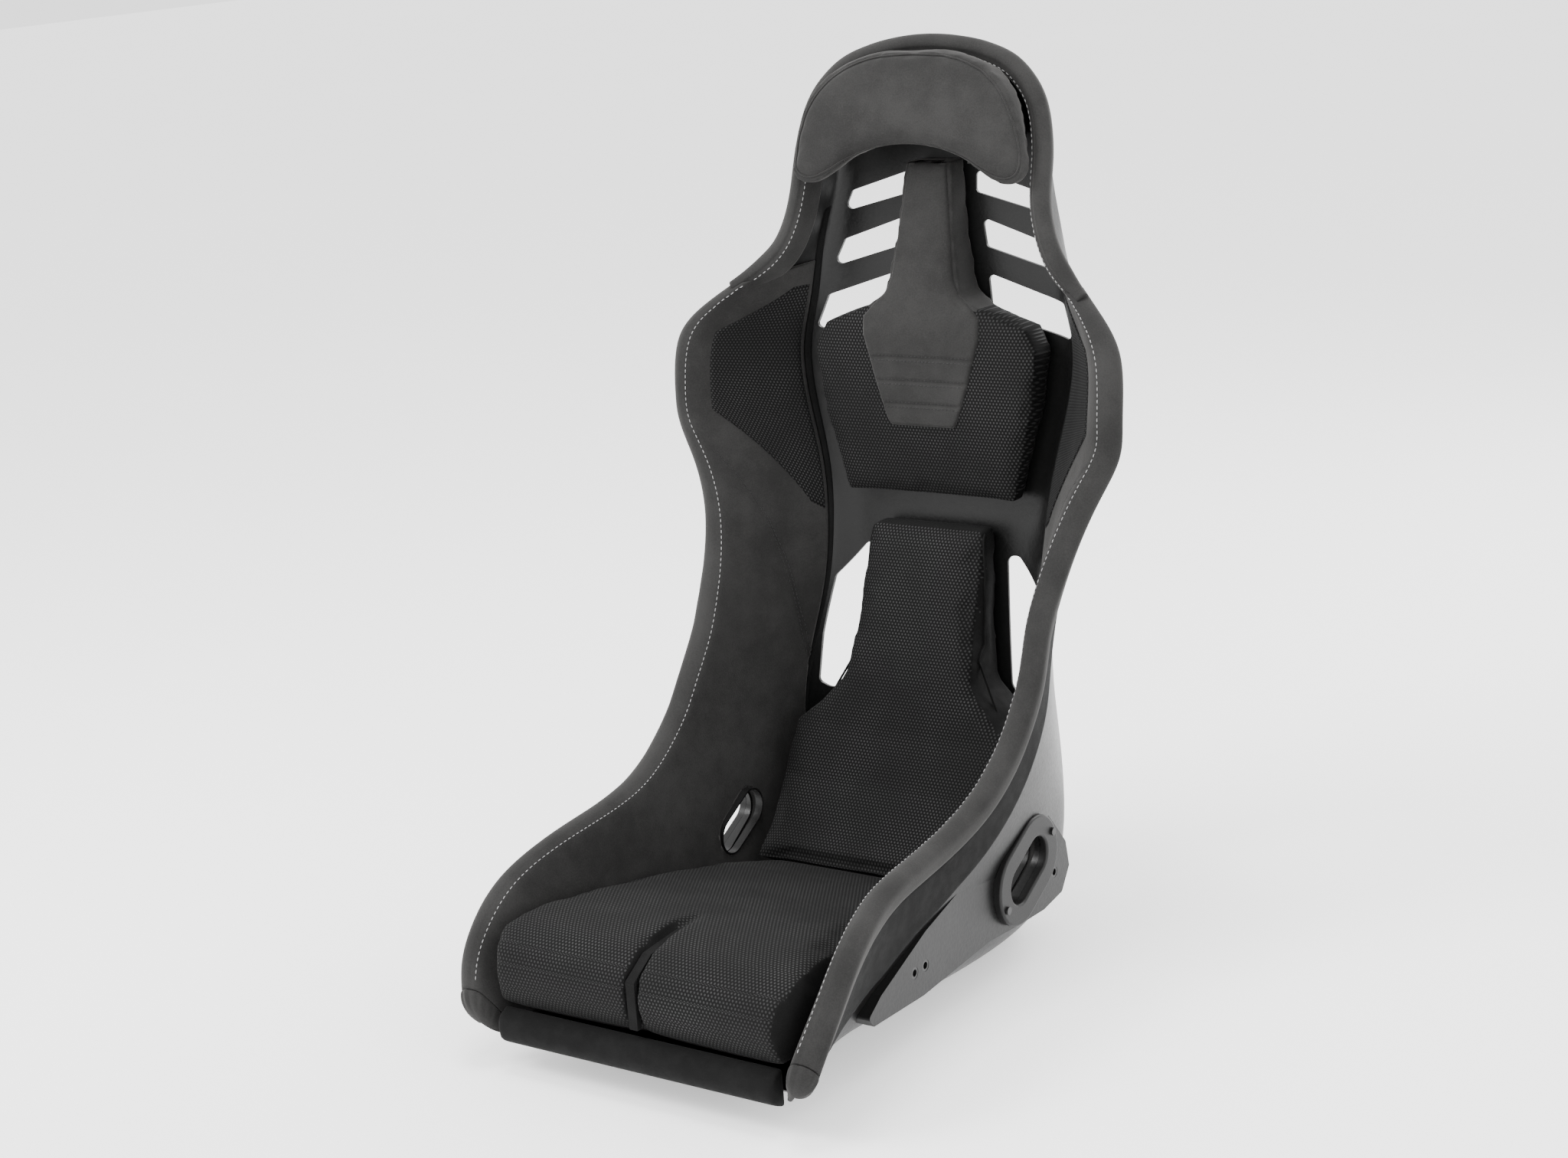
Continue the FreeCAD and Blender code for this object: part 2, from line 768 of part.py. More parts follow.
# the side wall flares out behind the top of the bezel: (distance past the plateau, height)
FLARE_LINE = [(-5.0, 38), (0.0, 38), (2.0, 50), (5.4, 70), (6.8, 82), (7.2, 96), (-5.0, 96)]
slot_length = size("belt_slot_length")
slot_width = size("belt_slot_width")
rim_width = size("bezel_rim")
half_pitch = size("screw_pitch") / 2
for side_name, side in SIDES:
    seat_on = Vector(side * (side_face + hard_gap), slot_middle.y, slot_middle.z)
    ring = new_body("bezel_ring_" + side_name, outward_turn(side), seat_on)
    ring_sketch = flat_sketch(ring, "bezel_outline_" + side_name)
    stadium(ring_sketch, slot_length + 2 * rim_width, slot_width + 2 * rim_width, 0)
    stadium(ring_sketch, slot_length, slot_width, 4)
    ring_pad = pad_feature(ring, "bezel_pad_" + side_name, ring_sketch, "Sizes.bezel_height")
    doc.recompute()
    edges = []
    for number, edge in enumerate(ring_pad.Shape.Edges, start=1):
        box = edge.BoundBox
        if abs(box.ZMin - size("bezel_height")) < 1e-3 and box.ZLength < 1e-3:
            edges.append("Edge%d" % number)
    rounding = ring.newObject("PartDesign::Fillet", "bezel_edge_" + side_name)
    rounding.Base = (ring_pad, edges)
    rounding.Radius = BEZEL_EDGE
    hole_sketch = circle_sketch(
        ring, "bezel_holes_" + side_name, [(-half_pitch, 0), (half_pitch, 0)],
        size("screw_radius") + hard_gap
    )
    holes = ring.newObject("PartDesign::Pocket", "bezel_pocket_" + side_name)
    holes.Profile = hole_sketch
    holes.Reversed = True
    holes.Type = "ThroughAll"
    ring.Tip = holes
    flare = [(side * (side_face + past), height) for past, height in FLARE_LINE]
    wedge = prism("bezel_flare_" + side_name, flare, FACING_FRONT, -60, 200)
    node(combine("Part::Cut", "bezel_fitted_" + side_name, (ring, wedge)), "belt_bezel_" + side_name)

for side_name, side in SIDES:
    screws = []
    for number, (y, z) in enumerate(screw_places, start=1):
        top = side * (side_face + 2 * hard_gap + size("bezel_height"))
        turn = Rotation(Vector(0, 1, 0), 90 * side)
        shank = doc.addObject("Part::Cylinder", "screw_shank_%s_%d" % (side_name, number))
        shank.setExpression("Radius", "Sizes.screw_radius")
        shank.setExpression("Height", "Sizes.screw_length")
        shank.Placement = Placement(Vector(top - side * size("screw_length"), y, z), turn)
        head = doc.addObject("Part::Cylinder", "screw_head_%s_%d" % (side_name, number))
        head.setExpression("Radius", "Sizes.screw_head_radius")
        head.setExpression("Height", "Sizes.screw_head_height")
        head.Placement = Placement(Vector(top, y, z), turn)
        screws.append(combine("Part::MultiFuse", "screw_%s_%d" % (side_name, number), [shank, head]))
    node(group_of("screw_group_" + side_name, screws), "bezel_screws_" + side_name)

for side_name, side in SIDES:
    outer_end = side * (side_face - hard_gap)
    turn = Rotation(Vector(0, 1, 0), -90 * side)
    inserts = []
    for number, (y, z) in enumerate(mount_places, start=1):
        barrel = doc.addObject("Part::Cylinder", "insert_barrel_%s_%d" % (side_name, number))
        barrel.setExpression("Radius", "Sizes.insert_radius")
        barrel.setExpression("Height", "Sizes.insert_length")
        thread = doc.addObject("Part::Cylinder", "insert_thread_%s_%d" % (side_name, number))
        thread.setExpression("Radius", "Sizes.mount_bolt_radius")
        thread.setExpression("Height", "Sizes.insert_length")
        for cylinder in (barrel, thread):
            cylinder.Placement = Placement(Vector(outer_end, y, z), turn)
        inserts.append(combine("Part::Cut", "insert_%s_%d" % (side_name, number), (barrel, thread)))
    node(group_of("insert_group_" + side_name, inserts), "mount_inserts_" + side_name)

# the fabric-edged tube that lines the belt slot through the bolster
SLEEVE_OUTER_X = 191.0
SLEEVE_INNER_X = 181.0
for side_name, side in SIDES:
    low, high = sorted((side * SLEEVE_INNER_X, side * SLEEVE_OUTER_X))
    wall_size = 2 * size("sleeve_wall")
    outside = stadium_prism("sleeve_outside_" + side_name, slot_length + wall_size,
                            slot_width + wall_size, low, high)
    inside = stadium_prism("sleeve_inside_" + side_name, slot_length, slot_width, low - 1, high + 1)
    node(combine("Part::Cut", "sleeve_" + side_name, (outside, inside)), "belt_sleeve_" + side_name)


# ---------------------------------------------------------------- front edge
LIP_FRONT = -531.0
LIP_LEVEL = -40.0
ROLL_HALF_LENGTH = 181.0
roll = new_body("edge_roll", FACING_SIDE, at(-ROLL_HALF_LENGTH, 0, 0))
roll_sketch = flat_sketch(roll, "edge_roll_outline")
lip_y = at(0, LIP_FRONT, 0).y
roll_reach = size("roll_radius")
roll_sketch.addGeometry(
    Part.ArcOfCircle(
        Part.Circle(Vector(lip_y, LIP_LEVEL, 0), Vector(0, 0, 1), roll_reach), math.pi / 2, 1.5 * math.pi
    ),
    False,
)
roll_sketch.addGeometry(
    Part.LineSegment(
        Vector(lip_y, LIP_LEVEL - roll_reach, 0), Vector(lip_y, LIP_LEVEL + roll_reach, 0)
    ),
    False,
)
roll_pad = pad_feature(roll, "edge_roll_pad", roll_sketch, "%g * Sizes.overall_width" % (
    2 * ROLL_HALF_LENGTH / NOMINAL_WIDTH))
roll.Tip = roll_pad
node(roll, "front_edge_roll")

lip_space = feature(
    "lip_space",
    skin_solid(shell_grid(soft_gap, -0.06, 1.6), shell_grid(-wall - soft_gap, -0.06, 1.6)),
)
WRAP_LOW = (200, -541, -40)
WRAP_HIGH = (216, -548, -30)
for (side_name, side), near_bolster in zip(SIDES, near_bolsters):
    balls = []
    ends = [at(side * x, y, z) for x, y, z in (WRAP_LOW, WRAP_HIGH)]
    for number, end in enumerate(ends, start=1):
        ball = doc.addObject("Part::Sphere", "wrap_ball_%s_%d" % (side_name, number))
        ball.setExpression("Radius", "Sizes.wrap_radius")
        ball.Placement = Placement(end, Rotation())
        balls.append(ball)
    run = ends[1] - ends[0]
    middle = doc.addObject("Part::Cylinder", "wrap_middle_" + side_name)
    middle.setExpression("Radius", "Sizes.wrap_radius")
    middle.Height = run.Length
    middle.Placement = Placement(ends[0], Rotation(Vector(0, 0, 1), run))
    whole = combine("Part::MultiFuse", "wrap_whole_" + side_name, balls + [middle])
    node(less("wrap_" + side_name, whole, [lip_space, seat_shell, near_bolster]), "corner_wrap_" + side_name)


# ---------------------------------------------------------------- pads
near_shell = feature("near_shell", outside_room(size("pad_gap"), ROOM_LAST))


def clear_of_seat(name, blank):
    """The blank less the space that the shell and the bolsters need."""
    return less(name, blank, [near_shell] + near_bolsters)


PAD_REACH = 260.0


def across_prism(name, points):
    """A side view pushed right across the seat."""
    return prism(name, side_view(points), FACING_SIDE, -PAD_REACH, PAD_REACH)


def forward_prism(name, outline, smooth=False, corner=0.0):
    """A front view, given as its right half from top to bottom, pushed along Y."""
    points = front_view(mirror_outline(outline))
    return prism(name, points, FACING_FRONT, -BACK_REACH, 200, smooth, corner)


CUSHION_SIDE = [
    (-93, -6), (-180, 22), (-290, 48), (-390, 66), (-460, 74), (-515, 70), (-545, 52), (-553, 26),
    (-549, 0), (-538, -16), (-480, -33), (-200, -96), (10, -98), (66, -78), (74, -72),
]
CUSHION_TOP = [
    (0, 90), (140, 90), (150, 40), (165, -93), (178, -250), (180, -380), (190, -450), (196, -520),
    (184, -552), (150, -560), (0, -560),
]
cushion_side = across_prism("cushion_side", CUSHION_SIDE)
cushion_plan = prism(
    "cushion_plan", [(at(x, y, 0).x, at(x, y, 0).y) for x, y in mirror_outline(CUSHION_TOP)],
    LAID_FLAT, -120, 120,
)
cushion_block = combine("Part::MultiCommon", "cushion_blank", [cushion_side, cushion_plan])
groove_width = size("groove_width")
GROOVE_BACK = -400.0
GROOVE_DEPTH = 14.0
GROOVE_SIDE = [
    (-570, -20), (-534, -16), (-534, 40), (-505, 57), (-450, 60), (GROOVE_BACK, 68), (-400, 90), (-570, 90),
]
groove = prism("cushion_groove", side_view(GROOVE_SIDE), FACING_SIDE, -groove_width / 2, groove_width / 2)
grooved = combine("Part::Cut", "cushion_grooved", (cushion_block, groove))
node(clear_of_seat("cushion", grooved), "seat_cushion")
INSERT_SIDE = [
    (-541, -10), (-534.3, -10), (-534.3, 40.3), (-505, 57.5), (-450, 60.5), (-406, 67.5), (-406, 70),
    (-450, 67), (-507, 64), (-541, 44),
]
node(
    prism("groove_strip", side_view(INSERT_SIDE), FACING_SIDE,
          -groove_width / 2 + hard_gap, groove_width / 2 - hard_gap),
    "cushion_groove_insert",
)

LUMBAR_SIDE = [
    (96, 379), (72, 320), (51, 263), (28, 200), (8, 137), (-20, 80), (-60, 25), (-92, -4.5),
    (80, -73.5), (118, -60), (126, 100), (150, 379),
]
LUMBAR_FRONT = [
    (0, 379), (79, 379), (85, 320), (88, 263), (95, 200), (130, 162), (158, 140), (164, 73), (160, -20),
    (150, -90), (0, -90),
]
lumbar = combine(
    "Part::MultiCommon", "lumbar_blank",
    [across_prism("lumbar_side", LUMBAR_SIDE), forward_prism("lumbar_front", LUMBAR_FRONT)],
)
node(clear_of_seat("lumbar", lumbar), "lumbar_pad")

BACK_PAD_SIDE = [
    (106, 403), (103, 500), (112, 645), (146, 806), (200, 806), (160, 403),
]
BACK_PAD_FRONT = [
    (0, 806), (34, 806), (44, 720), (57, 655), (80, 638), (141, 613), (156, 585), (150, 520), (119, 403),
    (0, 403),
]
back_pad = combine(
    "Part::MultiCommon", "back_pad_blank",
    [across_prism("back_pad_side", BACK_PAD_SIDE), forward_prism("back_pad_front", BACK_PAD_FRONT)],
)
node(clear_of_seat("back_pad", back_pad), "upper_back_pad")

INSERT_GAP = 0.3
INSERT_FRONT = [
    (0, 800), (30, 800), (40, 718), (53, 652), (78, 632), (80, 600), (66, 545), (46, 495), (0, 492),
]
face_line = side_view(BACK_PAD_SIDE[:4])
outer_face = [(y - INSERT_GAP - 2.0, z) for y, z in face_line]
inner_face = [(y - INSERT_GAP, z) for y, z in face_line]
face_layer = prism("insert_layer", outer_face + inner_face[::-1], FACING_SIDE, -PAD_REACH, PAD_REACH)
node(
    combine("Part::MultiCommon", "insert_blank", [face_layer, forward_prism("insert_front", INSERT_FRONT)]),
    "back_pad_insert",
)

HEAD_FRONT = [
    (0, 934), (50, 931), (95, 918), (130, 893), (150, 855), (160, 812), (158, 789), (142, 779), (116, 783),
    (84, 799), (45, 813), (0, 818),
]
HEAD_SIDE = [
    (124, 936), (104, 870), (92, 800), (92, 775), (108.5, 775), (118, 815), (152, 936),
]
HEAD_CORE_FRONT = [(0, 893), (60, 890), (98, 874), (112, 850), (112, 826), (0, 826)]
HEAD_CORE_SIDE = [(121.4, 826), (140.3, 893), (200, 893), (200, 826)]
head_pad = combine(
    "Part::MultiCommon", "head_pad_blank",
    [across_prism("head_pad_side", HEAD_SIDE), forward_prism("head_pad_front", HEAD_FRONT, smooth=True)],
)
node(head_pad, "head_pad")
head_core = combine(
    "Part::MultiCommon", "head_core_blank",
    [across_prism("head_core_side", HEAD_CORE_SIDE), forward_prism("head_core_front", HEAD_CORE_FRONT)],
)
node(clear_of_seat("head_core", head_core), "head_pad_core")


# ---------------------------------------------------------------- hook and loop strips
STRIP_STEP = strip + hard_gap
STRIP_PLACES = [
    ("cushion", 3.0, 5.8, 35.0, 85.0),
    ("lumbar", 11.8, 13.4, 20.0, 68.0),
    ("back_pad", 15.4, 17.2, 40.0, 100.0),
    ("head_pad", 21.7, 22.6, 25.0, 85.0),
]
for pad_name, first, last, near_x, far_x in STRIP_PLACES:
    for kind, start in (("hook", hard_gap), ("loop", hard_gap + STRIP_STEP)):
        strips = []
        for side_name, side in SIDES:
            shape = patch(
                first, last,
                lambda section, station, edge=near_x: edge,
                lambda section, station, edge=far_x: edge,
                level(start), level(start + strip), side, count=3,
            )
            strips.append(feature("%s_%s_%s" % (pad_name, kind, side_name), shape))
        node(group_of("%s_%s_group" % (pad_name, kind), strips), "%s_%s_strips" % (pad_name, kind))


# ---------------------------------------------------------------- check and write
doc.recompute()
for item in doc.Objects:
    if "Invalid" in item.State or "Error" in item.State:
        raise RuntimeError("object failed: " + item.Name)
os.makedirs("parts", exist_ok=True)
for piece in NODES:
    shape = piece.Shape
    if shape.isNull() or not shape.isValid() or not shape.Solids:
        raise RuntimeError("bad shape: " + piece.Label)
for piece in NODES:
    piece.Shape.exportStep("parts/%s.step" % piece.Label)
    print(piece.Label, len(piece.Shape.Solids), round(piece.Shape.Volume))
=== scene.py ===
# %% [markdown]
# # A fixed-back racing seat
# The seat is one thin moulded shell. Padded bolsters run along its rim, four pads sit
# inside it, and belts pass through slots in its sides and back. The hard parts come
# from the CAD frame and only need a finish. Everything soft is built here.

# %% The frame and the tools
import math
import random

import bmesh
import bpy
import numpy as np
from mathutils import Matrix, Vector
from mathutils.bvhtree import BVHTree


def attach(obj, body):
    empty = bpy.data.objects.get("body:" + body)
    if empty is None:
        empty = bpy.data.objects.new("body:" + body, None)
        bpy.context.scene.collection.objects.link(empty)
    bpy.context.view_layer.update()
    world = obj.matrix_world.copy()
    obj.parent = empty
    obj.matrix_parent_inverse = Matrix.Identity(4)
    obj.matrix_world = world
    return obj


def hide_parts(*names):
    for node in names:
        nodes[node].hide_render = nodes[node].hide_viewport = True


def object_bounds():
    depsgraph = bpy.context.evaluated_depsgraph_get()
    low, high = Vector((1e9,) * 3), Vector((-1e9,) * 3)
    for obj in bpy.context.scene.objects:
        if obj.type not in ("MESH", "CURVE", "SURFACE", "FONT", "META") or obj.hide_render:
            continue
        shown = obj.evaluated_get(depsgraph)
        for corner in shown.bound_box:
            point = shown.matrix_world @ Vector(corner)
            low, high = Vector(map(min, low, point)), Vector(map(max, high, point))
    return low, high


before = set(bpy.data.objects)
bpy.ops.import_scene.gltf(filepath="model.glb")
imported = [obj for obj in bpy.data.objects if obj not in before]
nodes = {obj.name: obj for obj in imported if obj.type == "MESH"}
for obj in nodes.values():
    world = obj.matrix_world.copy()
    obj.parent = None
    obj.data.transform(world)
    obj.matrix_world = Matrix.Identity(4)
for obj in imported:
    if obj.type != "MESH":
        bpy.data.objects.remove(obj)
cad_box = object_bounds()
random.seed(11)
bpy.ops.object.select_all(action="DESELECT")
print("nodes in the frame:", len(nodes))

# %% [markdown]
# ## Camera
# A long lens from the front right, a little above the seat. The seat leans back a few
# degrees in this view, so the camera carries a slight roll.

# %% Camera
LENS_MM = 61.52
EYE = Vector((1.6346, -2.5361, 1.1740))
EYE_RIGHT = Vector((0.8276, 0.5566, -0.0723))
EYE_UP = Vector((-0.0908, 0.2600, 0.9613))
EYE_BACK = Vector((0.5539, -0.7890, 0.2657))
camera_data = bpy.data.cameras.new("camera")
camera_data.lens = LENS_MM
camera_data.sensor_width = 36.0
camera = bpy.data.objects.new("camera", camera_data)
bpy.context.scene.collection.objects.link(camera)
turn = Matrix((EYE_RIGHT, EYE_UP, EYE_BACK)).transposed()
camera.matrix_world = Matrix.Translation(EYE) @ turn.to_4x4()
bpy.context.scene.camera = camera
print("camera at", tuple(round(c, 3) for c in EYE))

# %% [markdown]
# ## Finishes
# A material here is a Principled shader fed by a few maths nodes. `Wire` wraps one
# socket, so that shader maths can be written as ordinary sums: `1 - mask * 0.5` adds the
# nodes. `Finish` owns the material and adds every other node.


# %% Shader sums
class Wire:
    """One output socket of a finish, with arithmetic."""

    def __init__(self, finish, socket):
        self.finish = finish
        self.socket = socket

    def maths(self, operation, *values):
        sockets = dict(enumerate(values))
        return self.finish.add("ShaderNodeMath", {"operation": operation}, sockets)

    def __add__(self, other):
        return self.maths("ADD", self, other)

    def __radd__(self, other):
        return self.maths("ADD", other, self)

    def __sub__(self, other):
        return self.maths("SUBTRACT", self, other)

    def __rsub__(self, other):
        return self.maths("SUBTRACT", other, self)

    def __mul__(self, other):
        return self.maths("MULTIPLY", self, other)

    def __rmul__(self, other):
        return self.maths("MULTIPLY", other, self)

    def __truediv__(self, other):
        return self.maths("DIVIDE", self, other)


class Finish:
    """A material with one Principled shader."""

    def __init__(self, name, **constants):
        self.material = bpy.data.materials.new(name)
        self.material.use_nodes = True
        self.tree = self.material.node_tree
        self.shader = self.tree.nodes["Principled BSDF"]
        for socket, value in constants.items():
            self.shader.inputs[socket.replace("_", " ")].default_value = value

    def add(self, kind, settings=None, sockets=None, output=0):
        node = self.tree.nodes.new(kind)
        for name, value in (settings or {}).items():
            setattr(node, name, value)
        for name, value in (sockets or {}).items():
            self.join(node.inputs[name], value)
        return Wire(self, node.outputs[output])

    def join(self, socket, value):
        if isinstance(value, Wire):
            self.tree.links.new(value.socket, socket)
        else:
            socket.default_value = value

    def feed(self, socket, value):
        self.join(self.shader.inputs[socket], value)

    def place(self):
        """Where the shaded point is, in the object's own metres."""
        return self.add("ShaderNodeTexCoord", output=3)

    def noise(self, where, scale, detail=3.0, roughness=0.55):
        sockets = {"Vector": where, "Scale": scale, "Detail": detail, "Roughness": roughness}
        return self.add("ShaderNodeTexNoise", None, sockets)

    def fit(self, value, low, high, new_low=0.0, new_high=1.0):
        sockets = {0: value, 1: low, 2: high, 3: new_low, 4: new_high}
        return self.add("ShaderNodeMapRange", {"interpolation_type": "SMOOTHSTEP"}, sockets)

    def blend(self, factor, first, second):
        sockets = {0: factor, 6: first, 7: second}
        return self.add("ShaderNodeMix", {"data_type": "RGBA"}, sockets, output=2)

    def raise_by(self, height, distance, strength=1.0):
        sockets = {"Height": height, "Distance": distance, "Strength": strength}
        self.feed("Normal", self.add("ShaderNodeBump", None, sockets))


def grey(level, warmth=0.0):
    return (level * (1 + warmth), level, level * (1 - warmth), 1.0)


# %% [markdown]
# ### Suede
# The bolsters wear a microfibre suede: a short nap that lies in different directions, so
# broad soft patches are lighter or darker, and a fine grain on top. Sheen gives the pale
# bloom where the cloth turns away.


# %% Suede
def napped_cloth(name, dark, light, warmth, sheen, grain):
    finish = Finish(name, Roughness=0.92, Sheen_Weight=sheen, Sheen_Roughness=0.42, Specular_IOR_Level=0.18)
    finish.shader.inputs["Sheen Tint"].default_value = grey(0.75, warmth)
    where = finish.place()
    patches = finish.noise(where, 9.0, 2.0)
    brushed = finish.noise(where, 55.0, 4.0, 0.6)
    fine = finish.noise(where, grain, 2.0, 0.7)
    tone = patches * 0.45 + brushed * 0.3 + fine * 0.25
    lightness = finish.fit(tone, 0.35, 0.66)
    finish.feed("Base Color", finish.blend(lightness, grey(dark, warmth), grey(light, warmth)))
    finish.feed("Roughness", finish.fit(brushed, 0.3, 0.7, 0.84, 0.98))
    finish.raise_by(fine * 0.7 + brushed * 0.5, 0.0006, 0.55)
    return finish.material


suede = napped_cloth("suede", 0.011, 0.025, 0.02, 0.12, 620.0)
velour = napped_cloth("velour", 0.0014, 0.0034, 0.0, 0.02, 900.0)
foam_cover = napped_cloth("foam_cover", 0.004, 0.008, 0.0, 0.03, 300.0)

# %% [markdown]
# ### Spacer mesh
# The pads breathe through a knitted mesh: a black ground with small grey dots set in a
# honeycomb. The dots follow the cloth, so they read the piece's own UV map, which is
# measured in metres. Two square lattices, one shifted by half a cell, make the honeycomb.

# %% Spacer mesh
DOT_WIDE = 0.0044
DOT_HIGH = 0.0074
DOT_SQUASH = 2.2


def lattice(across, along, shift):
    """How far across and along from the middle of the nearest cell, in cells."""
    moved = [value + shift for value in (across, along)]
    return [value.maths("FRACT", value) - 0.5 for value in moved]


def mesh_cloth(name):
    finish = Finish(name, Roughness=0.7, Sheen_Weight=0.01, Sheen_Roughness=0.5, Specular_IOR_Level=0.15)
    where = finish.add("ShaderNodeUVMap", {"uv_map": "cloth"})
    u = finish.add("ShaderNodeSeparateXYZ", None, {0: where})
    v = Wire(finish, u.socket.node.outputs[1])
    across, along = u / DOT_WIDE, v / DOT_HIGH
    reach = None
    for shift in (0.0, 0.5):
        x, y = lattice(across, along, shift)
        spot = x * x + y * y * DOT_SQUASH
        reach = spot if reach is None else reach.maths("MINIMUM", reach, spot)
    dot = finish.fit(reach, 0.075, 0.028)
    hollow = finish.fit(reach, 0.16, 0.09)
    wear = finish.fit(finish.noise(finish.place(), 14.0, 3.0), 0.3, 0.7, 0.45, 1.0)
    ground = finish.blend(hollow, grey(0.0016), grey(0.0040))
    finish.feed("Base Color", finish.blend(dot * wear, ground, grey(0.026)))
    finish.feed("Roughness", 0.85 - dot * 0.2)
    finish.raise_by(hollow, 0.0003, 0.6)
    return finish.material


mesh = mesh_cloth("spacer_mesh")

# %% [markdown]
# ### Moulded shell, plastic and steel
# The shell is a satin black laminate: even colour, a faint orange-peel in the gloss, and
# gloss that drifts a little over broad patches. The bezels are the same black with a finer grain.


# %% Hard finishes
def moulded(name, level, rough, peel, peel_size, coat=0.0):
    finish = Finish(name, Specular_IOR_Level=0.28, Coat_Weight=coat, Coat_Roughness=0.25)
    where = finish.place()
    broad = finish.noise(where, 6.0, 3.0)
    skin = finish.noise(where, peel_size, 2.0)
    finish.feed("Base Color", finish.blend(broad, grey(level * 0.9), grey(level * 1.15)))
    finish.feed("Roughness", finish.fit(broad * 0.6 + skin * 0.4, 0.3, 0.7, rough - 0.05, rough + 0.07))
    finish.raise_by(skin, peel, 0.5)
    return finish.material


shell_finish = moulded("moulded_shell", 0.0055, 0.36, 0.0004, 260.0, 0.04)
plastic = moulded("moulded_plastic", 0.0045, 0.42, 0.0003, 900.0)


def zinc(name):
    finish = Finish(name, Metallic=1.0)
    where = finish.place()
    marks = finish.noise(where, 700.0, 4.0)
    finish.feed("Base Color", finish.blend(marks, grey(0.035), grey(0.09)))
    finish.feed("Roughness", finish.fit(marks, 0.3, 0.7, 0.32, 0.5))
    finish.raise_by(marks, 0.0001, 0.4)
    return finish.material


steel = zinc("black_zinc")


def woven(name, level, pitch):
    """Narrow woven tape or thread: ribs across and a little fuzz."""
    finish = Finish(name, Roughness=0.85, Sheen_Weight=0.1, Specular_IOR_Level=0.25)
    where = finish.place()
    sockets = {"Vector": where, "Scale": pitch, "Distortion": 1.5}
    ribs = finish.add("ShaderNodeTexWave", {"bands_direction": "Z"}, sockets)
    fuzz = finish.noise(where, 1200.0)
    finish.feed("Base Color", finish.blend(ribs * 0.6 + fuzz * 0.4, grey(level * 0.6), grey(level * 1.3)))
    finish.raise_by(ribs, 0.0003, 0.6)
    return finish.material


grey_thread = woven("grey_thread", 0.32, 900.0)
black_thread = woven("black_thread", 0.012, 900.0)
tape = woven("hook_tape", 0.008, 300.0)
print("finishes:", len(bpy.data.materials))

# %% [markdown]
# ## Floor and light
# A plain pale floor under the lowest point, a big soft light above and to the left, a
# weaker one on the right, and a strip behind that draws the edges.

# %% Studio
low_corner, high_corner = cad_box
FLOOR_DROP = 0.001
FLOOR_SIZE = 40
WORLD_GLOW = 1.9
bpy.ops.mesh.primitive_plane_add(size=FLOOR_SIZE, location=(0, 0, low_corner[2] - FLOOR_DROP))
floor = bpy.context.object
floor.name = "floor"
paper = Finish("studio_floor", Roughness=0.9, Specular_IOR_Level=0.1, Emission_Strength=0.55)
paper.shader.inputs["Emission Color"].default_value = grey(1.0)
paper_tone = paper.noise(paper.place(), 0.7, 2.0)
paper.feed("Base Color", paper.blend(paper_tone, grey(0.90), grey(0.94)))
floor.data.materials.append(paper.material)
world = bpy.data.worlds.new("studio")
world.use_nodes = True
world.node_tree.nodes["Background"].inputs[0].default_value = (1, 1, 1, 1)
world.node_tree.nodes["Background"].inputs[1].default_value = WORLD_GLOW
bpy.context.scene.world = world
SEAT_MIDDLE = Vector((0, -0.1, 0.4))
LIGHTS = [
    ("key", (-1.8, -2.0, 2.8), 1.4, 120.0),
    ("fill", (2.6, -0.9, 1.0), 1.4, 30.0),
    ("edge", (0.8, 2.4, 2.0), 1.6, 60.0),
    ("top", (0.0, -0.3, 3.2), 1.0, 60.0),
]
for name, spot, width, power in LIGHTS:
    data = bpy.data.lights.new(name, "AREA")
    data.size = width
    data.energy = power
    light = bpy.data.objects.new(name, data)
    light.location = spot
    light.rotation_euler = (SEAT_MIDDLE - Vector(spot)).to_track_quat("-Z", "Y").to_euler()
    bpy.context.scene.collection.objects.link(light)

# %% [markdown]
# ## Hard parts
# The shell, bezels, screws, threaded inserts and slot sleeves keep their CAD shape. Each
# gets its finish here.

# %% Finishes on the hard parts
HARD = {
    "seat_shell": shell_finish, "belt_bezel": plastic, "bezel_screws": steel,
    "mount_inserts": steel, "belt_sleeve": plastic, "hook_strips": tape, "loop_strips": tape,
    "head_pad_core": foam_cover,
}
for name, piece in nodes.items():
    for word, finish in HARD.items():
        if word in name:
            piece.data.materials.clear()
            piece.data.materials.append(finish)

# %% [markdown]
# ## The line of the seat
# The rim, the spine and the curve between them are given at numbered stations from the
# front edge to the top of the head, in millimetres. A smooth guide runs through them, and
# `Section` is one slice of the shell. Every soft piece on the rim is laid out on these.

